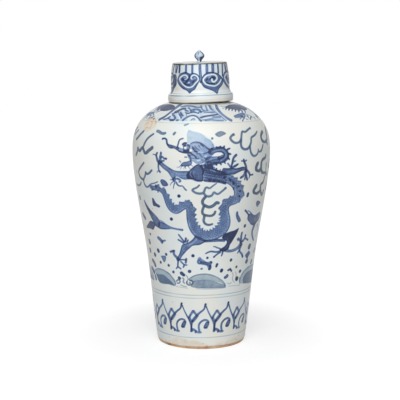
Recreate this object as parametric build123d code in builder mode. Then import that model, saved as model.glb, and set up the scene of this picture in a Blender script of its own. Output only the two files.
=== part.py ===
"""Covered porcelain meiping: a high-shouldered vase with a small mouth and a cap-shaped cover.

Units are millimetres. The origin is the centre of the foot's resting face, +Z is up, and the
painted front faces -Y. The body is four thrown sections luted together with stepped joints. The
cover is a thrown cap with a locating tube luted inside it and a bud knob luted on top.
"""

import os
from math import cos, radians, sin, sqrt

from build123d import *

# Body outside
foot_radius = 60.8
foot_bevel = 1.4
foot_bevel_height = 3.0
belly_radius = 93.8
belly_height = 265.0
landing_height = 331.6

# Body walls
body_wall = 6.0
floor_thickness = 9.0
floor_corner_radius = 12.0

# Foot: a trimmed ring round a recess
foot_ring_width = 8.5
foot_recess_depth = 7.0
recess_corner_radius = 2.5

# Stepped luting joints between the thrown sections
lower_seam_height = 112.0
upper_seam_height = 222.0
seam_step = 3.5
seam_clearance = 0.15

# Neck and mouth
mouth_radius = 20.5
neck_wall = 4.5
neck_height = 25.0
neck_waist_height = 8.0
neck_root_flare = 2.0
lip_overhang = 4.0
lip_thickness = 7.0
lip_round = 2.6
lip_undercut = 2.0
landing_margin = 1.0
neck_tongue_depth = 3.0
neck_tongue_wall = 3.2

# Cover: it stands a little crooked, low on its left, and a little off centre
cover_lean = 1.7
cover_shift = -0.8
cover_seat_gap = 0.3
cover_play = 4.6
cover_wall = 5.0
cover_headroom = 21.9
cover_top_thickness = 5.6
cover_top_taper = 2.2
cover_wall_bow = 0.5
cover_wall_swell = 0.35
cover_corner_radius = 2.8
cover_rim_flare = 5.4
cover_rim_height = 9.4
cover_rim_tuck = 0.5
cover_flare_height = 7.6
cover_flare_foot = 0.8
cover_flare_bend_width = 2.5
cover_flare_bend_height = 2.6
cover_rim_wall = 5.6
cover_rim_bevel = 1.2
cover_top_dish = 0.9
cover_dish_radius = 30.0

# Locating tube inside the cover
spigot_play = 4.5
spigot_wall = 3.4
spigot_engagement = 11.0
spigot_flange_width = 2.6
spigot_flange_thickness = 2.4
spigot_edge = 0.9

# Knob: a pointed bud on a short stem, with a tenon set into the top of the cover
knob_radius = 6.8
knob_height = 17.2
knob_stem_radius = 2.7
knob_pad_radius = 3.9
knob_tip_radius = 0.5
knob_tenon_radius = 2.2
knob_tenon_length = 3.0
knob_tenon_clearance = 0.12

overrun = 20.0

# Outside of the body from the bevel up to the belly, then from the belly in to the landing, as
# shares of the growth in radius and of the rise
rise_shares = ((0.0, 0.0), (0.19, 0.2), (0.45, 0.485), (0.71, 0.685), (0.92, 0.86), (1.0, 1.0))
shoulder_shares = ((0.082, 0.465), (0.33, 0.762), (0.715, 0.957), (1.0, 1.0))
inner_wall_shares = (0.0, 0.14, 0.28, 0.42, 0.54, 0.64, 0.71, 0.77, 0.83, 0.89, 0.95, 1.0)
# Outside of the bud above its pad, as shares of the knob's radius and height
bud_shares = ((0.78, 0.36), (1.0, 0.53), (0.74, 0.76))
stem_height_share = 0.14
search_steps = 40

# Sizes that follow from the ones above
neck_radius = mouth_radius + neck_wall
neck_root_radius = neck_radius + neck_root_flare
lip_radius = neck_radius + lip_overhang
landing_radius = neck_root_radius + landing_margin
lip_top_height = landing_height + neck_height
inner_floor_height = foot_recess_depth + floor_thickness
neck_seat_height = landing_height - neck_tongue_depth
neck_tongue_radius = mouth_radius + neck_tongue_wall

os.makedirs("parts", exist_ok=True)


def outer_wall_points():
    """Places on the outside of the body, from the top of the foot's bevel to the landing."""
    growth = belly_radius - foot_radius
    rise = belly_height - foot_bevel_height
    inset = belly_radius - landing_radius
    climb = landing_height - belly_height
    lower = [(foot_radius + r * growth, foot_bevel_height + h * rise) for r, h in rise_shares]
    upper = [(belly_radius - r * inset, belly_height + h * climb) for r, h in shoulder_shares]
    return lower + upper


outer_wall = Edge.make_spline([Vector(r, z) for r, z in outer_wall_points()])


def inner_wall_point(share):
    """The place one wall inside the outer wall, at a share of its length."""
    place = outer_wall @ share
    along = outer_wall % share
    return (place.X - body_wall * along.Y, place.Y + body_wall * along.X)


inner_wall = Edge.make_spline([Vector(*inner_wall_point(share)) for share in inner_wall_shares])


def radius_at(wall, height):
    """Radius of a wall at a height, found by halving the wall's length."""
    low, high = 0.0, 1.0
    for _ in range(search_steps):
        middle = (low + high) / 2
        if (wall @ middle).Y < height:
            low = middle
        else:
            high = middle
    return (wall @ low).X


def shoulder_height_at(radius):
    """Height of the outside of the shoulder at a radius, found by halving the wall's length."""
    low, high = 0.0, 1.0
    for _ in range(search_steps):
        middle = (low + high) / 2
        place = outer_wall @ middle
        if place.Y < belly_height or place.X > radius:
            low = middle
        else:
            high = middle
    return (outer_wall @ low).Y


def seam_radius(height):
    """Radius of the step in a luted seam: the middle of the wall."""
    return (radius_at(outer_wall, height) + radius_at(inner_wall, height)) / 2


# The whole body wall, before it is parted into the thrown sections
with BuildPart() as body_cavity:
    with BuildSketch(Plane.XZ):
        with BuildLine():
            lining = Spline(*[inner_wall_point(share) for share in inner_wall_shares])
            Polyline(lining @ 0, (0, (lining @ 0).Y), (0, (lining @ 1).Y), lining @ 1)
        make_face()
    revolve(axis=Axis.Z)
    with BuildSketch():
        Circle(belly_radius)
    extrude(amount=inner_floor_height, mode=Mode.SUBTRACT)
    fillet(body_cavity.edges().sort_by(Axis.Z)[0], floor_corner_radius)

with BuildPart() as body_shell:
    with BuildSketch(Plane.XZ):
        with BuildLine():
            outside = Spline(*outer_wall_points())
            bevel = Line(outside @ 0, (foot_radius - foot_bevel, 0))
            Polyline(bevel @ 1, (0, 0), (0, landing_height), outside @ 1)
        make_face()
    revolve(axis=Axis.Z)
    add(body_cavity.part, mode=Mode.SUBTRACT)
    # Recess under the foot
    with BuildSketch():
        Circle(foot_radius - foot_bevel - foot_ring_width)
    extrude(amount=foot_recess_depth, mode=Mode.SUBTRACT)
    recess_edge = body_shell.edges().filter_by(GeomType.CIRCLE).group_by(Axis.Z)[1]
    fillet(recess_edge, recess_corner_radius)
    # The way up into the mouth, and the seat that the neck is luted into
    with BuildSketch(Plane.XY.offset(belly_height)):
        Circle(mouth_radius)
    extrude(amount=landing_height, mode=Mode.SUBTRACT)
    with BuildSketch(Plane.XY.offset(neck_seat_height)):
        Circle(neck_tongue_radius + seam_clearance)
    extrude(amount=landing_height, mode=Mode.SUBTRACT)


def seam_cutter(height, step_radius, far):
    """All that lies beyond a stepped seam, towards the height far, above it or below it."""
    reach = belly_radius + overrun
    with BuildPart() as cutter:
        with BuildSketch(Plane.XZ):
            with BuildLine():
                Polyline(
                    (0, far),
                    (0, height + seam_step),
                    (step_radius, height + seam_step),
                    (step_radius, height),
                    (reach, height),
                    (reach, far),
                    close=True,
                )
            make_face()
        revolve(axis=Axis.Z)
    return cutter.part


lower_seam_radius = seam_radius(lower_seam_height)
upper_seam_radius = seam_radius(upper_seam_height)
above_all = landing_height + overrun
below_all = -overrun

with BuildPart() as foot_section:
    add(body_shell.part)
    add(seam_cutter(lower_seam_height, lower_seam_radius, above_all), mode=Mode.SUBTRACT)
foot_section.part.label = "foot_section"

with BuildPart() as belly_section:
    add(body_shell.part)
    add(seam_cutter(lower_seam_height, lower_seam_radius + seam_clearance, below_all), mode=Mode.SUBTRACT)
    add(seam_cutter(upper_seam_height, upper_seam_radius, above_all), mode=Mode.SUBTRACT)
belly_section.part.label = "belly_section"

with BuildPart() as shoulder_section:
    add(body_shell.part)
    add(seam_cutter(upper_seam_height, upper_seam_radius + seam_clearance, below_all), mode=Mode.SUBTRACT)
shoulder_section.part.label = "shoulder_section"

# Neck with its rolled lip, and the tongue that keys it into the shoulder
lip_under_height = lip_top_height - lip_thickness

with BuildPart() as neck:
    with BuildSketch(Plane.XZ):
        with BuildLine():
            root = Polyline(
                (mouth_radius, lip_top_height),
                (mouth_radius, neck_seat_height),
                (neck_tongue_radius, neck_seat_height),
                (neck_tongue_radius, landing_height),
                (neck_root_radius, landing_height),
            )
            waist = Spline(
                root @ 1,
                (neck_radius, landing_height + neck_waist_height),
                (neck_radius + lip_overhang / 2, lip_under_height),
            )
            Polyline(
                waist @ 1,
                (lip_radius, lip_under_height + lip_undercut),
                (lip_radius, lip_top_height),
                root @ 0,
            )
        make_face()
    revolve(axis=Axis.Z)
    fillet(neck.edges().filter_by(GeomType.CIRCLE).group_by(Axis.Z)[-1], lip_round)
neck.part.label = "neck"

# Cover: its own leaning axis starts where the rim's plane crosses it, and the inside of the rim
# comes down beside the shoulder on the left
lean = radians(cover_lean)
cover_inner_radius = lip_radius + cover_play
cover_wall_radius = cover_inner_radius + cover_wall
cover_rim_radius = cover_wall_radius + cover_rim_flare
cover_top_radius = cover_wall_radius - cover_top_taper
cover_bore_radius = cover_rim_radius - cover_rim_wall
seat_radius = cover_bore_radius + cover_rim_bevel - cover_shift
seat_height = shoulder_height_at(seat_radius) + cover_seat_gap
cover_base_height = seat_height + (cover_bore_radius + cover_rim_bevel) * sin(lean)
cover_ceiling = (lip_top_height - cover_base_height) + cover_headroom
cover_height = cover_ceiling + cover_top_thickness
cover_up = Vector(-sin(lean), 0, cos(lean))
cover_base = Vector(cover_shift, 0, cover_base_height)
cover_axis = Axis(cover_base, cover_up)
cover_profile = Plane(origin=cover_base, x_dir=(cos(lean), 0, sin(lean)), z_dir=(0, -1, 0))
flare_top = cover_rim_height + cover_flare_height


def cover_level(height):
    """The plane square to the cover's axis at a height above its rim."""
    return Plane(origin=cover_base + cover_up * height, x_dir=cover_profile.x_dir, z_dir=cover_up)


with BuildPart() as cover_cap:
    with BuildSketch(cover_profile):
        with BuildLine():
            skirt = Spline(
                (cover_rim_radius - cover_rim_tuck, 0),
                (cover_rim_radius, cover_rim_height / 2),
                (cover_rim_radius - cover_rim_tuck, cover_rim_height),
            )
            flare = Spline(
                skirt @ 1,
                (cover_wall_radius + cover_flare_bend_width, cover_rim_height + cover_flare_bend_height),
                (cover_wall_radius + cover_flare_foot, flare_top),
            )
            wall = Spline(
                flare @ 1,
                (cover_wall_radius + cover_wall_swell, (flare_top + cover_height) / 2),
                (cover_top_radius, cover_height),
            )
            Polyline(wall @ 1, (0, cover_height), (0, 0), skirt @ 0)
        make_face()
    revolve(axis=cover_axis)
    fillet(cover_cap.faces().sort_by(cover_axis)[-1].edges(), cover_corner_radius)
    # The top is dished a little
    with BuildSketch(cover_profile):
        with BuildLine():
            dish = ThreePointArc(
                (-cover_dish_radius, cover_height),
                (0, cover_height - cover_top_dish),
                (cover_dish_radius, cover_height),
            )
            Line(dish @ 1, dish @ 0)
        make_face()
        split(bisect_by=Plane.YZ)
    revolve(axis=cover_axis, mode=Mode.SUBTRACT)
    # Inside of the cap, wider at the skirt
    with BuildSketch(cover_profile):
        with BuildLine():
            bore = Line((cover_bore_radius + cover_rim_bevel, 0), (cover_bore_radius, cover_rim_bevel))
            lining = Spline(
                bore @ 1,
                (cover_inner_radius + cover_wall_bow, flare_top),
                (cover_inner_radius, (flare_top + cover_ceiling) / 2),
                (cover_top_radius - cover_wall, cover_ceiling),
            )
            Polyline(lining @ 1, (0, cover_ceiling), (0, 0), bore @ 0)
        make_face()
    revolve(axis=cover_axis, mode=Mode.SUBTRACT)
    # Socket for the knob's tenon
    with BuildSketch(cover_level(cover_height)):
        Circle(knob_tenon_radius + knob_tenon_clearance)
    extrude(amount=-(cover_top_dish + knob_tenon_length + knob_tenon_clearance), mode=Mode.SUBTRACT)
cover_cap.part.label = "cover_cap"

# Locating tube: it hangs from the ceiling of the cover into the mouth
spigot_radius = mouth_radius - spigot_play
spigot_bore_radius = spigot_radius - spigot_wall
spigot_length = cover_headroom + spigot_engagement

with BuildPart() as cover_spigot:
    with BuildSketch(cover_level(cover_ceiling)):
        Circle(spigot_radius)
    extrude(amount=-spigot_length)
    chamfer(cover_spigot.faces().sort_by(cover_axis)[0].edges(), spigot_edge)
    with BuildSketch(cover_level(cover_ceiling)):
        Circle(spigot_radius + spigot_flange_width)
    extrude(amount=-spigot_flange_thickness)
    with BuildSketch(cover_level(cover_ceiling)):
        Circle(spigot_bore_radius)
    extrude(amount=-spigot_length, mode=Mode.SUBTRACT)
cover_spigot.part.label = "cover_spigot"

# Knob: the edge of its pad stands on the dish, and its tenon in the socket
dish_bend_radius = (cover_dish_radius**2 + cover_top_dish**2) / (2 * cover_top_dish)
pad_lift = dish_bend_radius - sqrt(dish_bend_radius**2 - knob_pad_radius**2)
knob_base_height = cover_height - cover_top_dish + pad_lift
knob_base = cover_base + cover_up * knob_base_height
stem_height = stem_height_share * knob_height

with BuildPart() as knob:
    with BuildSketch(Plane(origin=knob_base, x_dir=cover_profile.x_dir, z_dir=cover_profile.z_dir)):
        with BuildLine():
            pad = Line((0, 0), (knob_pad_radius, 0))
            bud = Spline(
                pad @ 1,
                (knob_stem_radius, stem_height),
                *[(r * knob_radius, h * knob_height) for r, h in bud_shares],
                (knob_tip_radius, knob_height),
            )
            Polyline(bud @ 1, (0, knob_height), pad @ 0)
        make_face()
    revolve(axis=cover_axis)
    with BuildSketch(cover_level(knob_base_height)):
        Circle(knob_tenon_radius)
    extrude(amount=-knob_tenon_length)
knob.part.label = "knob"

export_step(foot_section.part, "parts/foot_section.step")
export_step(belly_section.part, "parts/belly_section.step")
export_step(shoulder_section.part, "parts/shoulder_section.step")
export_step(neck.part, "parts/neck.step")
export_step(cover_cap.part, "parts/cover_cap.step")
export_step(cover_spigot.part, "parts/cover_spigot.step")
export_step(knob.part, "parts/knob.step")
print("mouth to cover:", lip_top_height, "cover base", cover_base_height, "cover height", cover_height)
print("top of the knob:", cover_base_height + (knob_base_height + knob_height) * cos(lean))
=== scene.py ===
"""Looks of the covered meiping: glaze, underglaze painting, light and camera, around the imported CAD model."""
from math import pi, radians

import bmesh
import bpy
import numpy as np
from mathutils import Matrix, Vector


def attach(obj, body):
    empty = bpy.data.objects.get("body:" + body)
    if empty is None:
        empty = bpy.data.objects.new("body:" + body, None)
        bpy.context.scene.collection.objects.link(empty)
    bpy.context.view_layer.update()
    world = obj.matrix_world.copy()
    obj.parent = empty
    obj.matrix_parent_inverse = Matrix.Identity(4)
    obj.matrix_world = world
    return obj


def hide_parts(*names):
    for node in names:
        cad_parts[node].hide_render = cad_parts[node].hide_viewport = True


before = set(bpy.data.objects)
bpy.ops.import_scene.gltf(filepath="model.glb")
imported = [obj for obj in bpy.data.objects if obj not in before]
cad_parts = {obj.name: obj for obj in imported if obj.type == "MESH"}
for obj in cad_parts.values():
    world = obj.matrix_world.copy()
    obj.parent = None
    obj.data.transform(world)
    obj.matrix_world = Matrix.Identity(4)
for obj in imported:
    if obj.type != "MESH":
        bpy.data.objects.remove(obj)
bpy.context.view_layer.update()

mm = 0.001
tiny = 1e-9   # keeps a length of nothing from being a divisor

# The camera that the photograph's circles give, in millimetres, degrees and pixels of the 400-pixel photograph
camera_distance, camera_height, camera_pitch = 1568.0, 437.0, 8.77
focal_pixels, photo_side, axis_column = 1150.0, 400, 201.3
camera_side = (photo_side / 2 - axis_column) * camera_distance / focal_pixels

# Where a pixel's ray is searched for the wall, and the radius where there is none
ray_start, ray_end, ray_step, no_wall = camera_distance - 110, camera_distance + 60, 0.4, -50

# Outside of the thrown body as radius and height, in millimetres, as in the part's source
body_outline = (
    (60.8, 3.0), (67.07, 55.4), (75.65, 130.07), (84.23, 182.47), (91.16, 228.32),
    (93.8, 265.0), (88.40, 295.97), (72.09, 315.75), (46.75, 328.74), (28.0, 331.6),
)

# The cover stands on the shoulder a little to the left, and leans
cover_base, cover_lean = (-0.8, 0.0, 331.736), 1.7
cover_outlines = (
    ((43.5, 0.0), (44.0, 4.7), (43.5, 9.4)),
    ((43.5, 9.4), (41.1, 12.0), (39.4, 17.0)),
    ((39.4, 17.0), (38.95, 34.682), (36.4, 52.364)),
    ((36.83, 50.2), (35.93, 51.75), (34.17, 52.364)),
    ((34.17, 52.364), (30.0, 52.364)),
    ((30.0, 52.364), (20.0, 51.864), (10.0, 51.564), (3.6, 51.477)),
)

# The knob, from its foot in the cover's dish
knob_base_height = 51.479
knob_outline = (
    (3.9, 0.0), (3.1, 1.1), (2.75, 2.41), (3.6, 4.3), (5.3, 6.19),
    (6.8, 9.12), (5.03, 13.07), (2.2, 15.6), (0.5, 17.1), (0.02, 17.25),
)

# The brush, in millimetres
brush_edge = 0.45      # width of a brush line's soft edge
sheet_step = 0.32      # height of one cell of the unrolled paint
overlap = 0.3          # share of the weaker stroke that darkens the stronger one under it
pool_depth, pool_width, pool_level = 0.7, 0.6, 0.3   # the darker line inside a stroke's edge
tone_share = 0.16      # how much a stroke follows the mottle of the pigment
tone_mix = ((0.65, 22, 3), (0.35, 7, 4))   # share, size in cells and seed of each part of that mottle
line_ease, line_step, fill_ease, fill_step = 0.7, 0.5, 0.6, 1.0   # how round a line and a fill run, and their steps
most_trimmed = 0.45    # the most that is taken off an end of a line, as a share of its length
least_wide = 0.2       # the thinnest line, in pixels
usual_spread = 1.3     # how much wider a slanting wall may make a line
ring_wander, wander_waves, wander_seed = 0.25, 9, 11   # how far a wheel line strays
ring_load, load_waves, load_seed = 0.35, 24, 12        # how unevenly it is loaded


def running_sum(steps):
    """The sum of the steps up to each point."""
    return np.r_[0, np.cumsum(steps)]


def bell(value, middle, width):
    """1 at the middle, and less on both sides of it."""
    return np.exp(-((value - middle) / width) ** 2)


def inked(off):
    """How much of a cell is inside an edge, from its signed distance to it."""
    return np.clip(0.5 - off / brush_edge, 0, 1)


def overlaid(paint, dose):
    """One paint over the other."""
    return np.maximum(paint, dose) + overlap * np.minimum(paint, dose)


def read_points(words):
    """Points that are written with commas."""
    return [[float(v) for v in word.split(",")] for word in words]


def smooth_line(points, step, ease=1.0, firm=False):
    """Points about one step apart on a smooth curve through the given ones. A lower ease keeps it closer to them
    at sharp turns, and firm gives its ends the direction that they have in the part's own curves."""
    p = np.array(points, float)
    runs = np.hypot(*np.diff(p[:, :2], axis=0).T)
    along = running_sum(runs**ease)
    h, last = np.diff(along), len(p) - 1
    pull, bend = np.eye(len(p)), np.zeros_like(p)
    for i in range(1, last):
        pull[i, i - 1:i + 2] = h[i - 1], 2 * (h[i - 1] + h[i]), h[i]
        bend[i] = 6 * ((p[i + 1] - p[i]) / h[i] - (p[i] - p[i - 1]) / h[i - 1])
    for end, side in ((0, 1), (last, -1)) if firm else ():
        near = np.arange(last + 1)[::side][:4]
        heading = np.polynomial.polynomial.polyfit(along[near] - along[end], p[near], len(near) - 1)[1]
        reach = abs(along[end + side] - along[end])
        pull[end, [end, end + side]] = 2 * reach, reach
        bend[end] = 6 * side * ((p[end + side] - p[end]) * side / reach - heading)
    bend = np.linalg.solve(pull, bend)
    even = np.linspace(0, runs.sum(), max(2, int(runs.sum() / step) + 2))
    at = np.interp(even, running_sum(runs), along)
    i = np.clip(np.searchsorted(along, at, "right") - 1, 0, last - 1)
    b = ((at - along[i]) / h[i])[:, None]
    a = 1 - b
    return a * p[i] + b * p[i + 1] + ((a**3 - a) * bend[i] + (b**3 - b) * bend[i + 1]) * (h[i] ** 2)[:, None] / 6


def mottle(rows, columns, row_size, column_size, seed, fewest=4):
    """Smooth random values from -1 to 1 that meet round the vase."""
    size = max(fewest, int(rows / row_size)), max(fewest, int(columns / column_size))
    picks = np.random.default_rng(seed).uniform(-1, 1, size)
    picks = np.c_[picks, picks[:, :1]]
    across = np.linspace(0, picks.shape[1] - 1, columns, endpoint=False)
    down = np.linspace(0, picks.shape[0] - 1, rows)
    i, j = np.minimum(across.astype(int), picks.shape[1] - 2), np.minimum(down.astype(int), picks.shape[0] - 2)
    f, g = across - i, (down - j)[:, None]
    f, g = f * f * (3 - 2 * f), g * g * (3 - 2 * g)
    wide = picks[:, i] * (1 - f) + picks[:, i + 1] * f
    return (wide[j] * (1 - g) + wide[j + 1] * g).astype(np.float32)


class Skin:
    """The glazed outside of a turned piece, with its paint on a sheet that is unrolled from it.
    A column is an angle, 0 in front and growing to the right, and a row is a place up the outline."""

    def __init__(self, outline, columns, pixel, base=(0, 0, 0), lean=0.0):
        self.radius, self.height = outline.T
        self.top = int(np.argmax(self.height)) + 1   # past this point the outline is out of the camera's sight
        self.up = running_sum(np.hypot(*np.diff(outline, axis=0).T))
        self.rows, self.columns, self.pixel = int(self.up[-1] / sheet_step) + 2, columns, pixel
        self.row_up = np.linspace(0, self.up[-1], self.rows)
        self.row_radius = np.interp(self.row_up, self.up, self.radius)[:, None]
        self.row_height = np.interp(self.row_up, self.up, self.height)
        self.angles = ((np.arange(columns) + 0.5) / columns * 2 - 1) * np.pi
        self.base = np.array(base, float)
        c, s = np.cos(np.radians(lean)), np.sin(np.radians(lean))
        self.turn = np.array(((c, 0, -s), (0, 1, 0), (s, 0, c)))
        self.tone = sum(share * mottle(self.rows, columns, size, size, seed) for share, size, seed in tone_mix)
        self.paint = {}

    def matrix(self):
        """Where the piece's own axes lie in the vase's, in metres."""
        place = np.eye(4)
        place[:3, :3], place[:3, 3] = self.turn, self.base * mm
        return Matrix(place.tolist())

    def carry(self, pixels):
        """The angle and the place up the outline where each pixel of the photograph meets the piece."""
        x, y = np.array(pixels, float).T
        c, s = np.cos(np.radians(camera_pitch)), np.sin(np.radians(camera_pitch))
        side, drop = (x - photo_side / 2) / focal_pixels, (y - photo_side / 2) / focal_pixels
        ray = np.stack([side, c - drop * s, -s - drop * c], 1)
        eye = np.array((camera_side, -camera_distance, camera_height)) - self.base
        eye, ray = eye @ self.turn, ray @ self.turn
        spot = eye + ray[:, None] * np.arange(ray_start, ray_end, ray_step)[:, None]
        radius, height, up = (line[:self.top] for line in (self.radius, self.height, self.up))
        gap = np.hypot(spot[..., 0], spot[..., 1]) - np.interp(spot[..., 2], height, radius, no_wall, no_wall)
        first = np.argmax(gap <= 0, 1)
        missed = gap.min(1) > 0
        first[missed] = np.argmin(gap[missed], 1)
        first = np.maximum(first, 1)
        n = np.arange(len(x))
        back, hit = gap[n, first - 1], gap[n, first]
        share = np.where(missed, 1, np.clip(back / np.where(back == hit, 1, back - hit), 0, 1))[:, None]
        at = spot[n, first - 1] * (1 - share) + spot[n, first] * share
        return np.arctan2(at[:, 0], -at[:, 1]), np.interp(at[:, 2], height, up), missed

    def block(self, angle, up, reach, thinnest=4.0):
        """The rows and columns that a shape touches."""
        low, high = np.searchsorted(self.row_up, (up.min() - reach, up.max() + reach))
        low, high = max(0, low - 1), min(self.rows, high + 1)
        thin = max(thinnest, self.row_radius[low:high].min() if high > low else thinnest)
        left, right = np.searchsorted(self.angles, (angle.min() - reach / thin, angle.max() + reach / thin))
        return slice(low, high), slice(max(0, left - 1), min(self.columns, right + 1))

    def near_line(self, angle, up, wide):
        """Signed distance of each cell from a line of changing width, with how far along and to which side it is."""
        rows, columns = self.block(angle, up, wide.max() / 2 + 2 * brush_edge)
        x, y, r = self.angles[columns][None, :], self.row_up[rows][:, None], self.row_radius[rows]
        best = np.full((y.shape[0], x.shape[1]), np.inf)
        along, side, start = np.zeros_like(best), np.zeros_like(best), 0.0
        for k in range(max(1, len(angle) - 1)):
            m = min(k + 1, len(angle) - 1)
            dx, dy = r * (angle[m] - angle[k]), up[m] - up[k]
            px, py = r * (x - angle[k]), y - up[k]
            long = dx * dx + dy * dy + tiny
            t = np.clip((px * dx + py * dy) / long, 0, 1)
            off = np.hypot(px - t * dx, py - t * dy) - (wide[k] + (wide[m] - wide[k]) * t) / 2
            won = off < best
            best[won] = off[won]
            length = np.sqrt(long)
            along[won] = (start + t * length)[won]
            side[won] = ((px * dy - py * dx) / length)[won]
            start += float(np.hypot(np.mean(dx), dy))
        return rows, columns, best, along, side

    def near_shape(self, angle, up, outline_width=0.01):
        """Signed distance of each cell from the edge of a filled shape."""
        closed = np.r_[angle, angle[:1]], np.r_[up, up[:1]]
        rows, columns, off = self.near_line(*closed, np.full(len(up) + 1, outline_width))[:3]
        x, y = self.angles[columns][None, :], self.row_up[rows][:, None]
        inside = np.zeros(off.shape, bool)
        for a0, u0, a1, u1 in zip(angle, up, np.roll(angle, -1), np.roll(up, -1)):
            if u0 != u1:
                inside ^= ((u0 > y) != (u1 > y)) & (x < a0 + (y - u0) * (a1 - a0) / (u1 - u0))
        return rows, columns, np.where(inside, -np.abs(off), np.abs(off))

    def ink(self, layer, rows, columns, off, strength, pool):
        """Adds one stroke or fill to a layer, darker near its edge, or wipes it pale where strength is negative."""
        part = layer[rows, columns]
        if strength < 0:
            part *= 1 + strength * inked(off)
            return
        shade = 1 + pool * (bell(off, -pool_depth, pool_width) - pool_level) + tone_share * self.tone[rows, columns]
        part[:] = overlaid(part, strength * inked(off) * shade)

    def draw(self, strokes, spread=usual_spread, layer=None, pool=0.2, load=1.0, trim=0.3, dark=1.0):
        """Draws strokes that are written one on each line, or on more where the next begins with a space: a width or
        widths in pixels, or the word fill, then a strength, then points. The points are pixels of the photograph
        from the corner that a line with the word from gives. load makes every stroke wider, dark makes it stronger,
        and trim is how much a line's ends are drawn in, as a share of its width."""
        layer = np.zeros((self.rows, self.columns), np.float32) if layer is None else layer
        corner = np.zeros(2)
        for line in filter(None, strokes.replace("\n ", " ").splitlines()):
            size, strength, *points = line.split()
            if size == "from":
                corner[:] = float(strength), float(points[0])
                continue
            points = [[*(corner + p[:2]), *p[2:]] for p in read_points(points)]
            strength = float(strength) * (dark if strength[0] != "-" else 1)
            if size == "fill":
                angle, up, _ = self.carry(smooth_line(points + points[:1], fill_step, fill_ease)[:-1])
                self.ink(layer, *self.near_shape(angle, up), strength, pool)
                continue
            widths = [float(v) for v in size.split(">")]
            given = np.interp(np.linspace(0, 1, len(points)), np.linspace(0, 1, len(widths)), widths)
            points = np.array([[*p[:2], (p[2] if len(p) > 2 else w) * load] for p, w in zip(points, given)])
            if len(points) > 1:
                points = smooth_line(points, line_step, line_ease)
                gone = running_sum(np.hypot(*np.diff(points[:, :2], axis=0).T))
                cut = np.minimum(trim * points[[0, -1], 2], most_trimmed * gone[-1])
                kept = np.linspace(cut[0], gone[-1] - cut[1], max(2, int(gone[-1]) + 1))
                points = np.stack([np.interp(kept, gone, column) for column in points.T], 1)
            rows, columns, off = self.near_line(*self.carried_line(points, spread))[:3]
            self.ink(layer, rows, columns, off, strength, pool)
        return layer

    def carried_line(self, points, spread):
        """A line of pixels with widths, on the piece in millimetres. spread is how much wider a slanting wall
        may make it."""
        middle, wide = points[:, :2], np.maximum(points[:, 2], least_wide)
        run = np.gradient(middle, axis=0) if len(points) > 1 else np.array([[1.0, 0.0]])
        run /= np.maximum(np.hypot(*run.T), tiny)[:, None]
        across = np.stack([-run[:, 1], run[:, 0]], 1) * wide[:, None] / 2
        angle, up, _ = self.carry(middle)
        (a0, u0, miss0), (a1, u1, miss1) = self.carry(middle - across), self.carry(middle + across)
        seen = np.hypot((a1 - a0) * np.interp(up, self.up, self.radius), u1 - u0)
        plain = wide * self.pixel
        return angle, up, np.where(miss0 | miss1, plain, np.clip(seen, plain, plain * spread))

    def lay(self, pigment, layer, *turns):
        """Puts a layer on the piece, once for each turn in degrees."""
        sheet = self.paint.setdefault(pigment, np.zeros((self.rows, self.columns), np.float32))
        for turn in turns:
            dose = np.roll(layer, int(round(turn / 360 * self.columns)), 1)
            sheet[:] = overlaid(sheet, dose)

    def brush(self, pigment, strokes, *turns, **how):
        """Draws strokes and puts them on the piece."""
        self.lay(pigment, self.draw(strokes, **how), *turns)

    def waves(self, count, seed):
        """Smooth random values from -1 to 1 round the piece, about so many."""
        return mottle(2, self.columns, 1, self.columns / count, seed)[:1]

    def rings(self, *lines):
        """Lines round the piece, drawn on the turning wheel, and also painted shadow lines laid the same way: the
        pigment, height, width and strength of each.
        """
        drift = ring_wander * self.waves(wander_waves, wander_seed)
        load = 1 + ring_load * self.waves(load_waves, load_seed)
        for pigment, height, wide, strength in lines:
            up = np.interp(height, self.height[:self.top], self.up[:self.top])
            off = np.abs(self.row_up[:, None] - up - drift) - wide / 2
            self.lay(pigment, (strength * load * inked(off)).astype(np.float32), 0)


def outline_of(*parts, step=0.5):
    """An outline of several curves, each of which stops where the next one starts."""
    lines = [smooth_line(part, step, firm=True) for part in parts]
    for k, following in enumerate(parts[1:]):
        lines[k] = lines[k][:np.argmin(np.hypot(*(lines[k] - following[0]).T))]
    return np.concatenate(lines)


lean = np.radians(cover_lean)
knob_base = (cover_base[0] - np.sin(lean) * knob_base_height, 0, cover_base[2] + np.cos(lean) * knob_base_height)
# Each with the columns of its sheet, and the size of a pixel on it in millimetres
body = Skin(outline_of(body_outline), 1800, 1.31)
cover = Skin(outline_of(*cover_outlines, step=0.4), 900, 1.28, cover_base, cover_lean)
knob = Skin(outline_of(knob_outline, step=0.2), 240, 1.3, knob_base, cover_lean)

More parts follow.
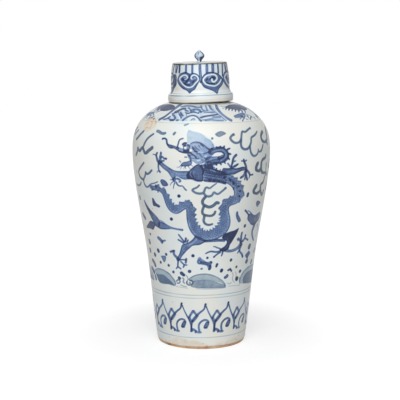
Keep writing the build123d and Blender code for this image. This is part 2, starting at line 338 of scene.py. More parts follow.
# The painting, as strokes that Skin.draw reads
mane = """
from 187 130
fill .3 1.5,0 5,1.5 9,2.5 13,3.5 17,6 20,8.5 23.5,10 26,14 27,17 26.5,19 23,19 19,18 16,14.5 13,12.3 9,12 5,13 .5,13
 .2,10 0,4
fill .24 18,8.4 21,9.2 24.5,12 26.6,16 26,19 22.4,19.4 19.4,17.4 16.4,13
2>.6 .12 1.8,1 5,3 10,5 15,8 19,12
1.5>.6 .1 2,7 6,8 11,9.5 16,12
1.6>1 .12 1.8,.3 6,1.6 12,3.2 17.5,6 22,9.3 25.5,13 26.8,17
2.4>1.4 .3 25.4,14 26.2,16.4 24.8,18.8 21.6,19.2
2 .2 3,8.4 4.5,8.6
"""
head = """
from 162 138
fill .44 28,7 30,5.5 34,4.6 38,5 41,7.4 44.5,10.4 48,12 50,17 47,22 43,24.5 38,26 34,25.5 31,23.5 28,22.5 26,19 25,16
 26,12 27,9
fill .56 20,6.6 22.4,5.4 25.4,5.6 27.6,6.4 28.2,9 27.4,11.4 26.6,14.4 23,13.6 20.8,12 21,9
fill .6 5,5.4 8,6.4 12,7.5 15,8.5 17,9 16.6,11.6 14,11.6 12,10.6 9,10.6 6,9
fill .46 14,9 17,9.4 21,10.8 24,12.2 26.4,14 26.6,16.6 24,15 20,14.6 16,13.2 14,11.6
2.8 .35 7.4,7.6 11,9.2
1.7>2 .78 .5,.8 3.5,.6 4.8,2.5 5,5 6.5,7.5
2.2 .6 .7,.9
1.5>1.6 .6 21.5,.5 18.5,1.3 17,3 16.5,5 15.8,7.5 15.5,9.5
1.6 .85 20.4,6.8 22,5.2 24.8,5.1
2.2 .8 22.2,7.6 23.8,7.4
1.5 .7 25.6,7 27.8,8.4
1.1>1.4>1.3 .66 28,6.3 31.3,4.5 37.2,4.6 41.3,6.8 44.7,9.7 48.6,12
2>1.4 .66 38.6,5.6 41.6,8.6
1.3 .54 30,8.3 32.4,10.2 34.4,11.8
1.2 .54 32.5,7.6 35,10.4 37.4,12.6
1.2 .55 36.4,7.4 39,10 41.6,12.2
1.3 .46 27.6,17.4 31,17.2 34.4,18.6
1.5 .46 34.5,15.9 37.5,15.6 38.8,17.6 40.4,19.6
1.4 .54 41.4,16 45,14.7 48.4,13.6
1.7 .54 46.6,13.2 48.6,15
1.3 .51 41.4,18 43.4,20.6 46.6,21.4
1.3 .46 30,20.4 33.4,20.2 37.4,20.6
1.2 .47 38.8,21.6 41.4,22.4
1.1 .42 40,24.4 44,21.8 48,19.4
1.4 .66 26.5,16.8 28.2,19 29,21 28.5,23.5
1.5 .72 16.3,12.6 20,14.2 25.5,15
1.4>1.1 .72 28.6,15.2 31.6,17 34.8,20.4
1.8>1.4 .5 22.4,19 25.2,19.2
1 .5 17.5,22.5 19,24.5
2.4 .85 21.6,12.8 24.6,13.4
2 .85 25.4,11.4 26.6,13.4
1.9 .85 30.8,9.8 32,12.6 35.4,13.8
1.5 .8 26.6,14.6 29.4,14.9
2.4 -.95 22.9,9.6 24,10
2.4 -.95 28.4,12 29.3,12.7
1.3 -.6 35,22.6 38.5,21.9
1.2 -.5 41.5,18.8 45,18
1 -.5 30,11 32,13.4
1 -.45 38.3,8.6 41.5,12.5
1.1 -.4 36.4,14.2 41,14.4
"""
beard = """
from 176 160
fill .62 4.5,6 5.5,3.5 8,2 11,1.5 14,.5 16,1.5 15.5,4.5 13.5,6 11,6.3 8,6.5
.9>.6 .5 5.5,5 2.5,7.3 .8,7
1>.5 .5 7,5 5.8,6.5 4.6,9.2
1>.5 .5 8.5,5.5 9.5,7.5 10,9
1>.5 .5 12,5.5 13,7.5 14.3,8.8
1>.5 .5 10.3,5.5 8.8,7.3 7.5,9
.9>.5 .45 14.5,4.5 16.5,6 17.5,7.5
"""
neck_loop = """
from 206 145
5.6 .58 4,8.5 5.5,6 9,5 13,4.3 17,5.3 20,8.3 20.3,11.7 17.3,14.8 12,16.2 7,17.3 2,18.5
2 .55 3,19.8 7,18.5 12,17.9 16.5,16.8 20,14 22,10.5 21.4,7.3 18.5,4 15,2.4 10.5,3
2>1.6 .55 3.6,7 6,5.4 10,4 15,3.2
1.1 .6 6.2,10 8.6,7.6 13,6.7 17,7.5 18.4,10.2 15.3,12.3 11.5,12.9
1.9 -.96 7.8,10.5 11,9.2 15,8.7
3.4>1 .25 1,20 6,20.5 11,19.5
6.6 .56 .5,15.2 4,14.6 8,14.8 13,14.2
3.8 .56 12,13 15,12.4 17.6,10.8
2.4>1.5 .75 21,4.6 24,3.3
2.4>1.5 .75 22.4,8.6 25,9.3
2.4>1.5 .75 21.6,12.6 23.6,14.6
2.2>1.4 .75 17.6,3 18.3,.8
2>1.4 .7 14.4,2.6 14.2,1
2>1.4 .7 10.6,3.2 10.4,1.6
2>1.4 .7 6.6,4.6 5.6,3
2>1.2 .7 5.6,19.8 6.6,21.4
2>1.2 .7 10,18.8 11,20.4
2>1.2 .7 14,18 15.4,20
2>1.2 .7 18,16.8 19.6,18.6
"""
chest = """
from 186 161
fill .56 17,5 19,1.6 23,0 25.4,1 25.8,5 26.6,9 20,9
fill .8 3,10 4,9 7,6.5 10,4 13,3.2 15.5,5 17.6,10 17,15 17.4,19.6 13,20.2 10,19.6 6,18 2,18 .5,14
2.4>2>1.4 .5 15,4.4 20,4.4 24,5 29,7
1.8>.8 .32 4,9.3 7,6.7 10,4.3 12.5,3.5
1.5>2.2>1.6 .5 1.5,17.8 6,17.8 10,19.4 16,20
1.2 .5 3,10 2.4,13 4,16 7,17.4
1 .3 6.5,10 5.8,13 7.5,15.5
.9 -.3 4.7,10 4.1,13.3 5.8,16
.9 -.22 8.3,10 7.6,13 9.2,16
2.4>2>1.6 .98 14.6,4.3 16.2,7 17.6,10.4 16.4,13.6
"""
left_foreleg = """
from 153 152
fill .6 37,19 32,19 27,19 22,18.5 18,16.5 14,14 10.5,11.5 8,9 4.5,9 7,13 11,17 15,20 17,23 19,26 20,29 22,26.3 24,24.5
 28,26.5 31,27.5 35,27
1.3>1 .3 35,19.5 27,19.6 22,19 17,16.6 12.5,13.2 8.5,9.5
1>1.4 .25 5.5,9.8 8,13.7 12,17.4 15.5,20.3 17.8,24 19.6,27.5
1 .25 22.5,20.5 21.3,23 22,25.5
.9 -.22 19,18.5 25,21.5 33,22
.9 -.2 23,24 29,24.3 34,24.6
3.4>2>1.8 .62 7.5,11 5,8.8 4,6 3.4,3.3 4.2,1
2.1 .62 4.3,.8
1.3>1 .6 3.5,3.2 .6,2.3
1.6 .5 .4,2.3
2.6>2.4>1.8 .64 8.3,10 7.3,6 7.8,3 8.2,1
2.6 .55 8,.8
2>1.6>2.2 .62 8,6 9,4.5 11,6.3 13,6.6
2.5 .6 13.2,6.7
1.8>2.2 .6 9,9 11.5,8.5
2>1.5>1.8 .62 5.7,11 5.5,15 6,18 7,19.8
2.3 .6 7.2,19.9
1.3 .5 5.5,18.6 4.2,20.2
1.2 -.85 5.7,5.2
1.1 -.8 9.2,7
4.6>2 .66 21.6,25.5 21.4,29.3
1.4>.7 .6 20.6,28.2 17.2,27.4
1.1>.6 .6 20.6,29.3 18.5,31 17.2,33.3
1.4>.7 .6 21.8,30.5 20.8,34 20.4,36.8
1.9>1.2>1.6 .62 23,29.8 24.5,32.5 27,34 29,33.8 30.5,35 32,37 33.7,38.4
2.4>1.4 .62 23.6,26.5 26.5,27.5 27.6,29.3 25.7,30
"""
right_foreleg = """
from 221 154
fill .76 2,14 4,14 7,14.3 10,13.8 15,14.2 20,13 23.5,13 25.5,16 22.5,16.5 20,17 16,18.8 13,20.3 9,20.7 3,21.5 0,20
1.2>.9 .3 5,14.6 10,14.4 15,14.9 20,13.8 23,13.6
1.3>1 .3 3,21 9,20.3 13,20 16,18.7 20,16.8
.9 -.24 5,17.5 11,17.3 17,16.3
2.1 .7 22.6,5.6
1.6>2.2>2.4 .74 22.7,5.8 23,7.5 24.3,10.5 24.9,13.5 25.4,16.5
1.9 .6 20.7,6.9
1.9 .6 25.1,6.4
1.2 .6 23,7.3 20.8,6.9
1.2 .6 23.4,7.5 25,6.5
2.4>1.8 .72 25.3,16 28,19 28.8,21.3
2 .66 31.5,20.5
1.6 .66 28.6,21 31.3,20.6
1.6>1 .66 28.8,21 27.7,24.2
2.2>1.8 .7 24.5,17.5 25,21 26,25.3
2.4 .64 26,25.5
2.6>2 .7 24.5,17 22.5,21.5 20,23.4
2.6 .64 19.7,23.7
1.8 .6 23.6,25.4
1.3>1.6 .6 24.6,21 23.6,25
1.3 -.8 26.6,20.8
2.6>2>1.2 .7 15.6,.6 12.8,3.5 11.6,7 10.6,11 9.8,13.5
1.4>2.4>1.6 .7 17.2,9.8 14,12 10,13.6
1.8>1.6 .6 6.5,9.2 8,11 9.5,13.3
1.8>1 .6 12.8,7.5 15,6.8
2.4>1.4 .35 10,12 11.8,9 13,6
"""
body_line = """
205,173,11 210,174.2,11 215,175,10.6 222,176.7,9.8 229,179.4,9.2 235,184,9.2 238.3,190,9.2 237.9,196,8.6 234,200.3,7.8
228.8,202.3,7.8 225.3,206,8.2 224.6,212,8.7 225.5,220,9.8 223.3,227,11.4 218,232.5,10.6 210,235.9,10 203,235.8,10
196.3,231,10 191.6,222.5,8.6 190.4,213,8.2 189.6,207.6,8.2 186.6,205.4,7.6 181.3,207.3,7.6 176.5,209.9,7.8
171.8,207.7,7.2 168.6,203,6.2 166.3,197.5,5.2 163.3,191.9,4.4 158.4,189,3.4
"""
back_marks = """
from 204 164
fill .6 1,2.4 5,2.2 9,4 14,6 19,7.6 23,10.6 18,11.4 11,10.4 4,9.4 .6,7
2.4>2.6>2.2 .7 0,16.4 6,17 14,17.6 22,19.6
2.6 .98 5,15.6 6,15.8
2.4 .95 9.4,16.4 10.6,16.6
2.4 .95 14,17 15.6,17.2
2.6 .98 19.8,13 21,13.6
1.6>.8 .8 1,2.6 1.6,.6
1.6>.8 .8 4,2.8 4.6,.8
1.6>.8 .7 15.6,7 16.6,5.2
1.8 .8 18.6,18.6 20,19.4
1.6 .7 25.6,14.8 26.2,17
1.6 .7 29.4,18.2 29.2,20.6
1.1 -.35 6.4,5.4 9.4,6.8 12,8.2
1.1 -.35 8.8,4.8 11.8,6.6
1.6>2>1.6 .6 2,3.2 8,4.8 14,6.8 20,8.6
2>2.4>2.2 .4 24,14 30,18.4 33.6,24
1.6 .8 8,5 8.8,3
1.6 .8 11.6,6 12.6,4.2
1.7 .85 33.6,22.6 35.4,22
1.7 .85 35,27 37,27
1.7 .85 34.4,31.6 36.2,32.8
1.6 .8 29.4,23.4 29.6,25.6
"""
tail = """
from 150 184
3.4>4.6>3 .64 10,5.6 6.5,4.3 2.5,3.6 .6,2.6
2.6 .62 2,3
2.6 .62 5.8,1.6
2.4>1.2 .6 6,4 7,1.5 9.5,.6
2>1 .6 3.5,4.5 1.8,6.5
2>1 .55 8,6 8.2,8.5
"""
hind_legs = """
from 170 228
2.8 .7 34,13 41,12.7 48,12.2 55,12.4
fill .98 55.6,5.2 59,4 61,3.2 65,2 68.6,0 67.6,3.4 65.6,7.4 63.4,11 61.4,14.4 59.6,17.2 58.8,20 56,22.6 52.5,23.6
 49.5,22 51.5,20 54,18.5 56.2,15.8 56.5,13 52,10
1.8>1.1 .62 51,22 49.5,20.4 47,19.6 45.5,18.8 43.3,18.5
2>1.4 .62 50.5,23 45.5,23.9 41,23.4 38,24.3 35.3,25.7
1.8>1.4 .62 50.5,24 47,26.2 44.2,28.6
2 .6 43.9,28.9
2>1.4 .62 52.5,23.5 52.2,25.8 51.2,28
3.2>2.6>3 .6 52,21.5 58,22.9 62,22.6 66,20.9 69,18.2 70.7,15
3.6 .64 71,16.5
2>1.4 .66 70.7,15 69.6,12 68,9.6
1.8>1.4 .62 68.2,12.6 67,10.6
2.5>1.8 .68 71.2,14.5 71,9 71.9,4.6
2.1 .6 71.9,4.6
2.1>1.6 .66 72.3,13.5 74.5,10 75.3,7
1.9 .6 75.3,7
1.9>1.6 .62 74.8,10 77.3,11.6
2.2 .6 77.5,11.7
2.8>1.8>2 .66 70.7,17.5 69.4,21 69.6,23.5 71.4,25.7 72.3,28.3
2.4 .6 72.4,28.6
1.7>1.2 .6 69.3,22 67.2,25.2
fill .64 25.5,7 23.5,10.5 20,13.5 17,15 14.5,15.5 12,17 11,20 10,23.5 9,26.5 7.4,29.6 8.2,32.2 10.4,31.4 12,28.5
 14.5,25.5 17,22.6 20,20 22,18.2 24.5,17.4 29,17 33,15.2 36,12.6 32,10
1.5>1 .3 25,8.5 23,11.5 19.5,14.3 15,16.5 12.5,18.5 11.6,22 10.2,26
1.2 .3 34,14 29,16 24,16.7 20.5,18 16.5,21.7 13,25.3
1 -.3 27,11 23.5,14.3 19,17
2 .32 14,21.5 17.5,18.5
1.5>1.8 .64 8.5,6.3 11,9.5 13,12 15,14.3
1.6>1.8 .64 8,11.4 11.5,13.5 14,15.2
2.4>1.8 .64 16,9.6 15.5,14.3
1.9>1.4 .6 18.3,11.6 17,14.6
4 .66 8.2,31.3
2.8>2.2>2.4 .66 8.2,30.3 5.5,28 3.8,25 4.4,22.2
2.6>2 .66 4.2,22.6 .9,23.6
2.3 .6 .7,23.7
1.7>1.4 .64 9.3,31.8 13,31.6 16,32
2.2 .66 16.4,30.3 15.7,35.2
1.5 .62 10.6,33.2 12.8,35.3 14.6,36.7 17.2,36.9
1.8 .62 14.6,36.5 13.2,39.5
2>1.6 .64 8.3,32 8,36 7.9,39
1.5 .62 8,38.7 6.2,40.7
1.5 .62 8.2,38.7 11.2,40.9
"""
clouds_right = """
from 230 128
2>1.7 .62 3.6,6.3 .3,10 2.5,13.5 6,15 9.5,13.8 11,11 11.5,6 12.5,3.5 14.7,4 17,2.5 19.7,.2
2.4 .55 3.6,6.6
2.1 .5 19.9,.2
2.1>2>1.3 .66 11,11 10.8,15 11.5,19 14.5,21.3 18,20.3 19.8,17.5 21,13 21.3,9.5 23,8.3 25.5,6 27,3
2>1.6 .64 19.8,18 20.2,22 21.5,26 23.8,28 26,27.2 27.8,24.5 28.2,21.2
"""
clouds_edge = """
from 253 126
1.4>1 .5 5.5,25.7 7.5,25.2 9,22 9.8,18.6
1.6 .6 9.5,5 8.2,8 8,12 9.5,15 11.5,16 13.3,14.5 13.6,11 13,7.5 12.3,3 11.8,.5
1.2 .5 13.2,15.4 14.3,18.5
2>1.8>1.3 .62 4.8,37 3.8,39 3,41.5 3.5,44 5.5,44.8 7.3,43 8,40.5 8.2,37 9,34.3 10.3,32.8 12,31.5 12.5,28.5
2.3 .5 4.9,37
1.6 .6 8,42 8.3,45 10,46.8 12,46.5 13.3,49
1 .45 13,37 12.8,42 12.5,46
2>1.6>1.2 .62 3.3,59.3 1.8,62 .5,64.8 1.5,67 3.5,67.3 5.7,65.8 7,63.5 7.2,60.5 8,58 9.5,56.5 10.7,53.5 11.6,49.5
2.2 .5 3.3,59.2
1.6 .55 7,64 7.8,67 8.5,68.6 9.6,66.5 10.4,64
"""
clouds_centre = """
from 192 183
1.3>1.8>.9 .5 7.5,1.8 5.5,4 2.5,5.5 .3,7 2,8.8 5,10.2 9,10.5 11.5,9.5 12.5,7.5 13.3,5.3 15,4.3 17,5.3 19.5,4 22,2
 24.7,.2
1.8>1.4 .5 11.8,10 13,12 14.5,13 17.5,13.3 20.5,11.5 22,9.3 24.5,10.8 27,10.5 29.5,8.5 32,6.5 33.5,5
1.9 .45 33.5,5
2>2.2 .62 14,13.3 12,15.5 10.5,18 11,21 13.5,22.8 17,24 20.5,23 23,21 24.8,19.5 27,20.5
1.9>1.6 .6 12.3,22.5 11,25.5 10.3,28.5 11,31 14,32.3 18,32.8 21,32 22.7,30 23.3,28
2>1.3 .58 12.5,32 12,35 11.7,38 13,40.5 16,41.8 19,41.5 20.7,40.8
"""
clouds_left = """
from 135 130
1.4 .55 4,0 1.3,3 .3,5
1.6>1.9 .6 9.3,.8 6,4 3.5,7 1.3,9.6
1.2>1.8 .6 19,3.8 15,6.5 12,9.5 10,13 8.5,16.5 7.8,18
2.2>1.8 .64 18,17 16.5,18.5 13.5,20.8 10.5,23.2 9,20.5 7.5,17.8 6,19.5 5,20.8 3.7,19.5 3,17.8 2.8,20 2,23 1,25.5
1.2>1.7 .6 9.3,32.3 7.3,35 5.3,38 4,41 4.3,44 5.5,47 7.5,49 9,49.5
1.5>1.2>.9 .55 10.8,41.8 10.5,45 9.2,48.5 9,51.5 10.2,55 12.5,57 14.3,55.8 16,54 19,53.3 21.5,52.3 23,51.6
1.6>1.3 .6 10.8,42 12,43.8 13.8,43.5 15.5,41.8 17.3,39.8
1.3 .5 1.8,53 3,55 5,55 6.5,51.7
.9 .3 1.8,40 2.4,43
"""
flame_left = """
from 144 200
1.2>2.6>3.6>5>6.6>7.4>7.4 .7 .4,0 2.2,4.6 5,9.8 7.4,13.6 10,17.4 12.4,21 14,24.6
1.2>2.4>2.8>1.6 .5 1,2 3.6,7 6.4,12 8.6,15.4
fill .8 2.8,26 4.6,23.4 6.4,20.8 9,21.6 11.6,24 10.6,27.6 9.4,29.6 6.4,28.4 3.4,27.8
7>6.4>5.4>3.2>2>1.8>2.4 .6 14.6,25 17.6,25.6 21,26.2 24.6,27 29,28.2 34,29.2 39,30
2.6>1.2 .42 15.4,20.8 18.6,22 21.8,24.2
1.4 .4 14,27 18,28.4 22,28.8 26,28.6
"""
flame_right = """
from 245 210
1.6>1.2 .66 .2,.3 2.3,3 4,5.7
2 .5 .2,.4
1 .5 2.5,.5 5,2 7,4.5
fill .66 3,4.3 6,3.3 9,5 11.5,4 13.5,2.3 15,1.8 14.6,6 13,10.2 11,12.8 9.5,14.8 6,14.6 4,12 2.3,9.5
2>1 .3 11,6 12,9 10,12.5
3.4>2.6>2>1.5 .62 9.2,13 8.5,16.5 7.3,20 6.9,23.5 7.3,27 8.3,30.6
1.6>1 .3 11.8,14 12.4,19 11.5,23 10.5,26.7
"""
small_marks = """
from 152 179
fill .82 .1,18.8 1.4,19.2 3.2,22.4 5.4,24.8 8.2,27 7.6,28.6 4.4,27.4 1.8,26.8 .6,23
fill .68 8.3,2 9.3,.3 12.5,1 15,3.3 16.2,6.2 11.8,7.2 9.8,5.5
2.6 .62 6,58.4 8.5,60.5 10.5,63.5
2.1>1.8 .6 10,61.9 13.8,61.4
1.8>2.6>3.5>3 .66 85.1,32.8 85,36 86.2,39.2 87.6,42.3
fill .66 103.7,24.5 105.3,21.6 108,23 106.7,25.6 105,28
fill .7 96.6,71.2 97.8,74 96,77.6 95.1,79.7 93,76.5 94.4,74.3
fill .6 9,76.8 13.6,77 14,80.6 12.5,83.3 10.8,81
fill .44 45.6,79.6 47.4,77.8 49.6,79.4 52.4,81.4 56,82.8 58.6,81.8 60.6,83 59.4,85.6 59.6,88.4 57.8,90.8 55.8,89.4
 54.6,86.8 50.6,85.8 47.4,85 45.6,83.6
1.6 .3 48.3,78.4 48.2,81
1.5 .42 48.2,80.8 45.8,81.8 45.7,83.6 47.3,84.8 49.5,83.6
2.5>3>3 .55 48.5,82.4 51,83.7 54,84.3 56.5,85.5 58.3,87.3
2.5 .6 58.9,83.4
2.4 .6 58,86 58.2,88.5 56.8,90.7
"""
dots = """
from 140 192
2.9 .72 31.5,27
1.9 .72 108.1,.8 107.2,4.7
1.4 .62 0,4 .5,7
1.7 .62 3,21.3 4.3,24 5.9,26.7
2.2 .6 10.5,42
1.6 .6 9.4,47.8 10.3,51.2
1.4 .6 10.3,56.3 10.8,59.7
1.9 .66 17.8,57.1 19.1,60
1.7 .62 14.8,61.3 15.6,63.7
2.5 .66 26.3,62.3
2.4 .66 20.9,70.2
2.4 .66 28.8,73.3
2.1 .6 33.5,79 33.6,80.8
1.9 .66 104.9,32.6 104.5,35
2 .66 109.7,52.8 108.6,56.2
1.9 .62 107,67.8 105.8,70.5
1.5 .6 111.4,67.8 110.6,71.2
1.5 .55 114,68.3 113.2,71.2
1.4 .55 114.4,56.3 113.6,59.7
2.3 .66 96.3,74.8
2.1 .66 100.5,78.7 99.2,79.6
2.9>2.2 .68 96.8,84.6 96.4,88.3
1.5 .6 12.5,67.5 14,69.5 15.3,72.5 15.8,74.2
1.7 .6 12,75 13.5,78 14.9,80.7
1.3 .5 15.5,83 16.5,87.5
"""
dots_middle = """
from 178 196
2.9 .72 1,0
2.8 .7 15,59.7
2.1 .66 29.4,61.8
2.3>1.6 .7 53.4,62.6 52.4,65.2
2.2>1.6 .66 39.5,67 37.9,71.3
2.8>2.2 .7 44.3,72.6 42.7,76.2
1.6 .5 22.4,73.1 24.8,72.4
2.8 .62 10,75.6 13.2,75.1
3>2.4 .66 2.3,76 6.8,79.8
2.5 .62 .4,80.8 2.6,83.2
1.7 .58 49.2,74.4 51.5,73.4 52.4,72.2
1.7 .58 52.2,72.9 53.7,75.7
2.3 .58 49.6,78.3 48.5,80.5 45.8,81.9
"""
wave_middle = """
from 188 274
fill .36 .5,5.8 4,3 9,1 15,.2 21,.5 27,2.4 32,5.2 35.5,8.2 37.5,11.6 34,9.4 28,7.4 21,5.8 14,5.6 9,6 5,7.8 3,7.5
fill .49 3,12.8 3.5,9.5 5.5,7.3 10,6 16,5.6 22,6 27,7.2 32,9.2 37.8,11.6 37,13.3 32,13.9 26,14.2 20,14.4 14,14.3
 8,13.9
5>3 .12 8,11.3 15,12 22,12
3>2.4 .2 27,12.2 33,12.9 36.8,13
1 .5 .5,5.5 4,2.8 9,.8 15,0 21,.3 27,2.2 32,5 35.5,8 37.5,11.6
"""
wave_left = """
from 155 268
fill .34 .2,2.4 2.5,1 6,1.2 10.5,3.2 14.5,6 17.5,9.7 20,13.2 20.6,17.6 13,16 5,14 2,8
fill .6 1,4.5 3,6 8,6.5 12,9.5 15.5,12.5 19.8,17.8 15,16.3 10,15.9 5,14.2 3,10
3>2 .22 5,11 11,13.6 16.5,15.6
1 .5 .2,2 2,.8 6,1 10.5,3 14.5,5.8 17.5,9.5 20,13 20.6,17
"""
wave_right = """
from 239 262
fill .34 .7,21.4 1,17 2.5,13.2 5.5,8.8 9,5.3 13,2.8 15.5,1.3 15.8,10 14,19
fill .6 4,21.3 3.5,18 4.8,14 7.3,10.5 11,8 14.3,6.7 14.3,13 13.3,19.2 8,21
3>2 .2 7,18 11,16.5 13,15
1 .5 .5,21.4 .8,17 2.3,13 5.3,8.5 9,5 13,2.5 15.8,.9
"""
foam = """
from 176 271
1.6 .6 11.3,10 10.8,12 12.5,13.8 15.5,13.5 17,11.5 15.5,9.5 13.5,9.5
2.2 .5 14,11.9
1.5 .52 .6,10.5 1.6,8.9 3.4,9 4.1,10.8 2.8,12.2 1,11.8
1.4 .45 6.3,6.8 8,8.2 7.2,10.6 8.9,12.2
.9 .45 10,4 12,7 11.3,10
.9 .4 4.5,13.7 7.5,15 11,15.8
.8 .35 55.8,1 57,3.5 56.3,7 57,10 58.8,11.5
.8 .3 59.2,.5 60,3 59.4,6
.8 .35 50.8,11.8 53.5,12.8 55.2,11.2
1 .45 63.4,6 63.2,10.5
.8 .25 20,17.8 36,18 50,16.4
.8 .25 52,15.2 64,13.9
.8 .25 0,15.3 12,17.3
"""
petal = """
from 191 303
2>1.6>2.1>2>1.7 .62 14.7,.6 14,3 13.2,5.8 10,8.7 6,12.2 3,15.4 1,19.3 .4,24 0,28.8
1.9 .6 14.7,1.2
1.2>1.5>1.7>1.5 .6 15,2.5 17,8 19.5,13 21.6,17.2 23.1,22 23.6,28.4
2.4>1.9 .58 .5,26 4,27.3 6,28.9 10.3,29.3
1.6 .6 5,27.5 4.3,30
2>1.8>2.2 .6 8.6,28.6 7.8,25 8.2,21.2 10.2,18.6 13.5,17 16.5,17.6 17.6,20
3>3.8>2 .72 16.6,19.4 15.4,22.3 13.4,24.8
1.6 .56 13.6,25 16.4,24.6
"""
back_petal = """
from 188 310
2.3>2 .58 5.3,.4 3.2,3.8 .4,7.8
2.3>2 .58 5.3,.5 7.4,3.6 10,6.4
2.2 .6 1,7.2 2.6,9.8 4.2,11.8
2.2 .6 9,6.8 6.8,9.4 4.6,11.8
1.6 .5 2.6,4.8 1.6,8.4
"""
panel = """
from 159 104
fill .22 24.6,2.8 31,1.8 39,1.2 49,1 53.4,2 57,6.4 61,10 66.6,15.2 68,17 43,17.4 39,17 25,17.2 11,17 4.5,16 11,11.8
 18,7
1.7>1.5>2.2 .7 21.6,.6 18,3.2 14,6.3 8.6,10.7 3.8,13.9 .4,15.6
1.9>2.1>1.9>2.3>2.6 .6 57,.4 57.8,3.6 60.2,7.3 63,10.1 66.6,13.1 70,15.4 72.4,16.6
1 .4 50.8,1 52.6,4.6 55.6,7.6 60.4,11.4 64.4,14.6 67.4,16.8
1.4 .6 22.8,2.8 28,1.9 34,2.4 38,3.4 42.4,3
2.1>1.6 .78 16.6,8 19.2,6.9 22.6,5.2 26,4.6
1.4 .62 26,4.7 27.2,6.8 30.4,6.8
1.4 .62 29.3,3.5 31.6,6.6 32.2,8.6
2.4>3 .55 33,5.4 34.6,7.6
1.4 .62 13.4,9.8 16,8.9 19.6,8.3
1.5 .66 21.4,7.8 22.6,10.2 24.4,12.4
1.4 .62 25.4,8.6 29.4,9.6
1.6 .66 26.6,10 27.6,12.2
1.4 .62 29.4,9.6 35,8.3 39.6,9.4
1.8 .62 35.4,5.4 40,6 42.2,8.8
2>2.4 .6 13.6,10.6 15.8,12.8 16.2,15.4
2 .58 19,9.4 21.6,12 22.4,14.6
1.5 .62 9,14 11.4,15.6 15.4,15.8
1.4 .62 4.4,15.6 9,14.2 11.4,12.6
2 .6 17.4,16.3 19.2,16.4
1.6 .6 11,16.6 15,16.4
1.1 .48 39.4,8.5 43.2,7.6 47,6.9 49,6.4
1.3 .49 42,.8 42.8,4.6 45,6.6
1.2 .53 46.4,1.2 47.4,4 48.4,6.4
1.2 .51 49.8,1 51,3.8 53.4,6.4
1.1 .42 45,8.6 50.4,8.3 55.4,8
1.8>1.4 .68 41.6,13.8 46,12.5 52,11.6 58.6,10.4
1.2 .42 49,8.4 55.4,8.6
1.1 .42 42,16.4 47,15.6 54,14.2 61.4,13.8
1.3 .48 46,16.8 52,16 58.6,16.5 64.4,16.5
1.1 .42 53.6,12.9 59.5,12.6 62.5,12.6
1.9>1.3>1.9 .62 23.6,16.8 26,14.6 29.6,12.6 33.8,11.6 37.8,13 40.4,15.4 42.4,17.6
1.2 -.75 18.6,8.8 19.4,11.6 21,14.8
1 -.75 12,11.6 13.6,13.6
1.2 -.8 23.6,6.6 25.6,9 27,12.2
1.1 -.8 29.2,5 30.6,7.2
1.2 -.8 28.4,11.2 34,9.8 40.6,11.4
1.1 -.7 37.4,7.2 38.6,8.4
1.3 -.7 44.2,3 45,5.6
1.2 -.7 48.4,2 49.8,5.4
1.3 -.6 44,10.6 51,9.8
1.2 -.6 44,14.6 52,13.4
2.6 -.9 29,16.2 30.8,14.8 33,13.8 36,14.2 38.4,16.4
1 .5 32,16.4 34,14.8 36.2,15.4
"""
spray_left = """
from 143 104
fill .84 13.6,6 15.8,2.6 18.6,1.2 22,.4 26,.6 29.8,1.6 29.2,3.2 26,3.8 23,4 19.6,4.6 16.6,5.6
2.1>1 .78 15.6,5 14.2,7.2
2.1>1 .78 18.4,4.6 17.4,7.2
2.1>1 .78 21.4,4.2 20.8,7
2.1>1 .78 24.4,4 24.4,6.8
2.1>1 .78 27.2,3.6 28.2,6
1.2>.7 .6 29.2,2.2 32.2,2.8
1.2>.7 .6 28.8,3.2 31.6,4.8
fill .62 3.2,11 5.6,8.9 8.6,8 11.8,8.2 10.4,9.8 7.4,10.4 5,11.8
1.7>.9 .66 5.4,10.6 4,13.2
1.7>.9 .66 8,10.2 7.4,13
1.7>.9 .66 10.6,9.4 11,12
1.8>1 .6 .6,14.8 3.2,13
1.5>.8 .6 4.8,15.8 6.4,13.8
1.3>.8 .55 8.4,14.4 10.2,13
"""
spray_right = """
from 221 104
fill .84 4,3.6 7.4,1.2 10,.6 15,.4 19,1.2 23,2.8 26,5.6 24.4,6.4 21,5.6 17,4.6 13,4.2 9,4.2 6.4,4.4
2.1>1 .8 5.6,4 4.4,6
2.1>1 .8 8.4,4.4 7.6,6.8
2.1>1 .8 11.4,4.6 10.8,7.2
2.1>1 .8 14.6,5 14.2,8
2.1>1 .8 17.8,5.6 17.8,8.8
2.1>1 .8 20.8,6 21.2,9.2
2.1>1 .8 23.6,6.4 24.4,9.2
1.6>.8 .6 0,2.4 4,2.8
1.3>.8 .6 1.2,4.6 4.6,3.6
1.2 .4 24.4,3.6 28.6,6 32.4,9 35.6,12.4 37.6,15.2
1.8>1 .74 19.6,11.2 22,13.6
1.5>.8 .7 24,11.4 22.4,15.6
1.4>.8 .62 20.4,14 18.6,15.6
2>1 .76 26,11.2 28,14.4
1.8>1 .74 30.2,11.6 29,15.8
1.4>.8 .6 25,15.2 27.4,15.8
1.8>1 .7 32.2,13 34.8,15.4
"""
small_dab = """
from 156 124
fill .5 58.8,10 62,8 65,7.1 68,8 70,9.6 66.5,11.7 63.5,13.1 60.5,12.1
2.4 .62 56.2,14.5
3>3.2>2.2 .56 .6,7 3,7.6 6.3,9.5 9.9,9
2.4>2 .6 17.4,10.8 19.4,8.4
2>1.4 .42 28.4,1.4 32.6,0
"""
cover_stripes = """
from 175 63
1.8 .66 1.3,2.8 .9,9.5
2.2>2.4 .66 4.9,2.6 4.4,9.5
2.2 .56 11.2,2.4 11,9.5
2.2 .56 17.4,2.2 17.3,10
2.8>3.2 .56 24.9,2 25,7 25.5,13 26,19
2.8 .54 31.8,2 31.9,9.5
3 .6 37.6,1.8 37.8,9
2 .62 42.7,1.6 43.2,10
1.8 .75 47,1 47.4,13
1.6 .7 50.3,.6 51,8
fill .07 0,2 15,1.6 30,1.4 45,1 52,.5 52.5,9 45,10 30,11 15,11 0,11
"""
